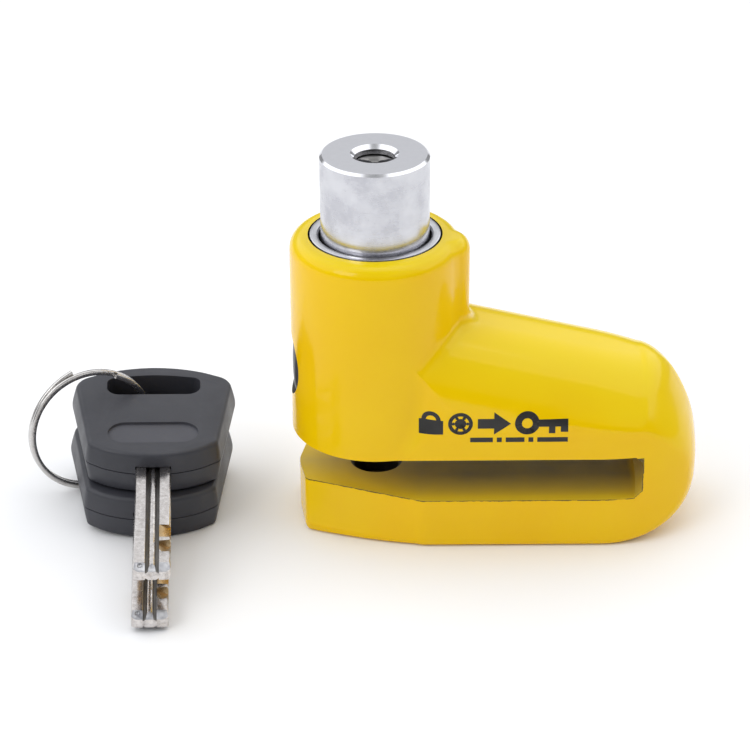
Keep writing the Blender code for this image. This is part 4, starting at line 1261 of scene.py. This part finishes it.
    def blade(self, finishes: Finishes) -> None:
        """Make the blade with its rails, rib, milled cuts and rounded nose."""
        bm = plate(self.blade_outline(), -self.tang, self.reach)
        moved(bm, Matrix(((1, 0, 0, 0), (0, 0, -1, 0), (0, 1, 0, 0), (0, 0, 0, 1))))
        faced(bm)
        for face in bm.faces:
            spot = face.calc_center_median()
            low = abs(spot.z) < self.blade_thick - 0.35 * MM and abs(spot.x) < 1.5 * MM
            face.material_index = int(low and abs(face.normal.y) < 0.5)
        obj = to_object(f"{self.name}_blade_plated", bm, finishes.nickel, finishes.groove)
        wide = self.blade_half + FIT
        tip = -self.reach + 0.02 * MM
        nose = [(wide, self.tang + PAST), (wide, tip + 2.2 * MM)]
        nose += cut_off(nose, (self.blade_half - 0.1 * MM, tip + 0.3 * MM), (0.0, tip), 1.5 * MM)
        shape = plate(mirrored(nose), -self.half_thick, self.half_thick)
        cut(obj, [shape], finishes.nickel, "INTERSECT")
        cut(obj, self.cutters(), finishes.brass)
        cut(obj, self.dimples(), finishes.nose)
        eased(obj, 0.05 * MM, 35, 2)
        obj.data.transform(self.place)
        fit(obj, self.body, Slot.NICKEL, f"{self.name}_blade")

    def cutters(self) -> list[Shape]:
        """Return the milling cuts across the rails, each a flat that deepens towards the edge."""
        shapes = []
        for start, end, slant, nod in self.cuts:
            tool = block((-1.2 * MM, start * MM, 0.0), (4 * MM, end * MM, 4 * MM))
            tilt = spun("Y", slant) @ spun("X", nod)
            middle = Vector((0, (start + end) / 2 * MM, 0))
            place = Matrix.Translation(middle + Vector((1.5 * MM, 0, self.blade_thick - 0.3 * MM)))
            moved(tool, place @ tilt @ Matrix.Translation(-middle))
            under = tool.copy()
            moved(under, spun("Y", 180))
            shapes += [tool, under]
        return shapes

    def dimples(self) -> list[Shape]:
        """Return the cutters of the nose's slanted ends and of its small dimple."""
        shapes = []
        for side in (1, -1):
            ramp = block((-9 * MM, -4 * MM, 0.0), (9 * MM, 0.0, 3 * MM))
            place = Matrix.Translation((0, -self.reach + self.ramp_run, (self.blade_thick + 0.02 * MM)))
            moved(ramp, place @ spun("X", self.ramp_angle))
            pit = bmesh.new()
            bmesh.ops.create_uvsphere(pit, u_segments=20, v_segments=12, radius=self.pit_r)
            moved(pit, Matrix.Translation((self.pit[0], self.pit[1] - self.reach, self.blade_thick)))
            for shape in (ramp, pit):
                if side < 0:
                    moved(shape, spun("Y", 180))
                shapes.append(shape)
        return shapes

    def build(self, finishes: Finishes) -> None:
        """Make the key's pieces."""
        self.head(finishes)
        self.blade(finishes)


@dataclass
class SplitRing:
    """Two touching turns of flat spring wire."""

    radius: float = 13.25 * MM
    radial: float = 1.25 * MM
    axial: float = 0.85 * MM
    pitch: float = 0.95 * MM
    centre: Vector = field(default_factory=lambda: Vector((-61.2 * MM, 8.8 * MM, 13.95 * MM)))
    yaw: float = 26.0
    lean: float = 2.0
    start: float = 130.0
    end: float = 232.0
    turns: float = 1.89
    steps: int = 96
    spread: float = 0.7 * MM
    spread_steps: int = 12

    def build(self, finishes: Finishes) -> None:
        """Make the ring."""
        bm = bmesh.new()
        r, a, c = self.radial / 2, self.axial / 2, 0.16 * MM
        low = -self.pitch
        section = [
            (r, -a + c), (r, a - c), (r - c * 0.3, a - c * 0.3), (r - c, a), (c - r, a),
            (c * 0.3 - r, a - c * 0.3), (-r, a - c), (-r, -a + c), (c * 0.3 - r, c * 0.3 - a),
            (c - r, -a), (r - c, -a), (r - c * 0.3, c * 0.3 - a),
        ]
        face = bm.faces.new([bm.verts.new((self.radius + x, 0.0, z + low)) for x, z in section])
        total = int(self.turns * self.steps)
        bmesh.ops.spin(
            bm, geom=[face, *face.edges, *face.verts], cent=(0, 0, 0), axis=(0, 0, 1),
            dvec=(0, 0, self.pitch / self.steps), angle=TURN * self.turns, steps=total,
        )
        bm.verts.index_update()
        for v in bm.verts:
            late = max(0.0, 1 - v.index // len(section) / self.spread_steps)
            away = Vector((v.co.x, v.co.y, 0.0)).normalized()
            v.co += away * (self.spread * late * late)
        faced(bm)
        upright = spun("Y", self.start) @ spun("X", 90)
        place = (
            Matrix.Translation(self.centre)
            @ spun("Z", self.yaw)
            @ spun("X", -self.lean)
            @ upright
            @ spun("Z", self.end)
        )
        moved(bm, place)
        obj = settle(to_object("split_ring_wire", bm, finishes.wire), 45)
        fit(obj, Body.RING, Slot.RING_STEEL, "split_ring")


# ---------------------------------------------------------------- studio


@dataclass
class Studio:
    """Floor, soft lights, a room for the metal to mirror, and the camera.

    Each of the room's spans gives how its brightness changes along one direction: from and to, and
    the brightness at each end.
    """

    lens: float = 110.4
    place: Vector = field(default_factory=lambda: Vector((-0.0002, -0.4214, 0.2583)))
    pitch: float = 61.7
    roll: float = -0.37
    lamps: tuple[tuple[str, Point3, float], ...] = (
        ("overhead", (0.05, 0.05, 0.9), 0.8), ("front_left", (-0.65, -0.65, 0.7), 2.6)
    )
    target: Point3 = (0.0, 0.0, 0.03)
    lamp_size: float = 0.5
    tint: Colour = (0.96, 0.975, 1.0)
    rise: tuple[float, ...] = (0.24, 0.38, 0.2, 1.03)
    ahead: tuple[float, ...] = (-0.40, -0.33, 0.34, 1.0)
    aside: tuple[float, ...] = (0.2, 0.42, 0.98, 1.55)

    def floor(self) -> None:
        """Make the white floor."""
        bm = bmesh.new()
        bmesh.ops.create_grid(bm, x_segments=2, y_segments=2, size=4.0)
        obj = to_object("floor", bm, Paper().make())

    def light(self, name: str, place: Point3, power: float) -> None:
        """Make a soft square light that faces the lock."""
        lamp = bpy.data.lights.new(name, "AREA")
        lamp.shape = "SQUARE"
        lamp.size = self.lamp_size
        lamp.energy = power
        obj = bpy.data.objects.new(name, lamp)
        bpy.context.scene.collection.objects.link(obj)
        obj.location = place
        obj.rotation_euler = (Vector(self.target) - Vector(place)).to_track_quat("-Z", "Y").to_euler()

    def camera(self) -> None:
        """Make the camera."""
        lens = bpy.data.cameras.new("camera")
        lens.lens = self.lens
        lens.sensor_width = 36.0
        lens.clip_start = 0.01
        obj = bpy.data.objects.new("camera", lens)
        bpy.context.scene.collection.objects.link(obj)
        obj.matrix_world = (
            Matrix.Translation(self.place)
            @ spun("X", self.pitch)
            @ spun("Z", self.roll)
        )
        bpy.context.scene.camera = obj

    def world(self) -> None:
        """Make the room: bright overhead, dim at the horizon and dimmest in front."""
        world = bpy.data.worlds.new("studio")
        bpy.context.scene.world = world
        world.use_nodes = True
        room = Nodes(world.node_tree, "Generated")
        x, y, z = room.axes()
        spans = ((z, self.rise), (y, self.ahead), (room.calc("ABSOLUTE", x), self.aside))
        shares = [room.span(part, *values, interpolation_type="SMOOTHSTEP") for part, values in spans]
        back = room.tree.nodes["Background"]
        room.put(back.inputs["Color"], self.tint)
        room.put(back.inputs["Strength"], room.product(*shares))
        bpy.context.scene.view_settings.view_transform = "Standard"

    def build(self) -> None:
        """Set up the studio."""
        self.world()
        self.floor()
        for name, place, power in self.lamps:
            self.light(name, place, power)
        self.camera()


def main() -> None:
    """Build the lock, its keys and the studio, in order."""
    logging.basicConfig(level=logging.INFO, format="%(name)s %(message)s", force=True)
    finishes = Finishes()
    Casting().build(finishes)
    Pictograms().build(finishes)
    Fittings().build(finishes)
    Plunger().build(finishes)
    Cylinder().build(finishes)
    Key("key_a", Body.KEY_A, LOWER_KEY).build(finishes)
    Key("key_b", Body.KEY_B, UPPER_KEY).build(finishes)
    SplitRing().build(finishes)
    Studio().build()


if __name__ == "__main__":
    main()
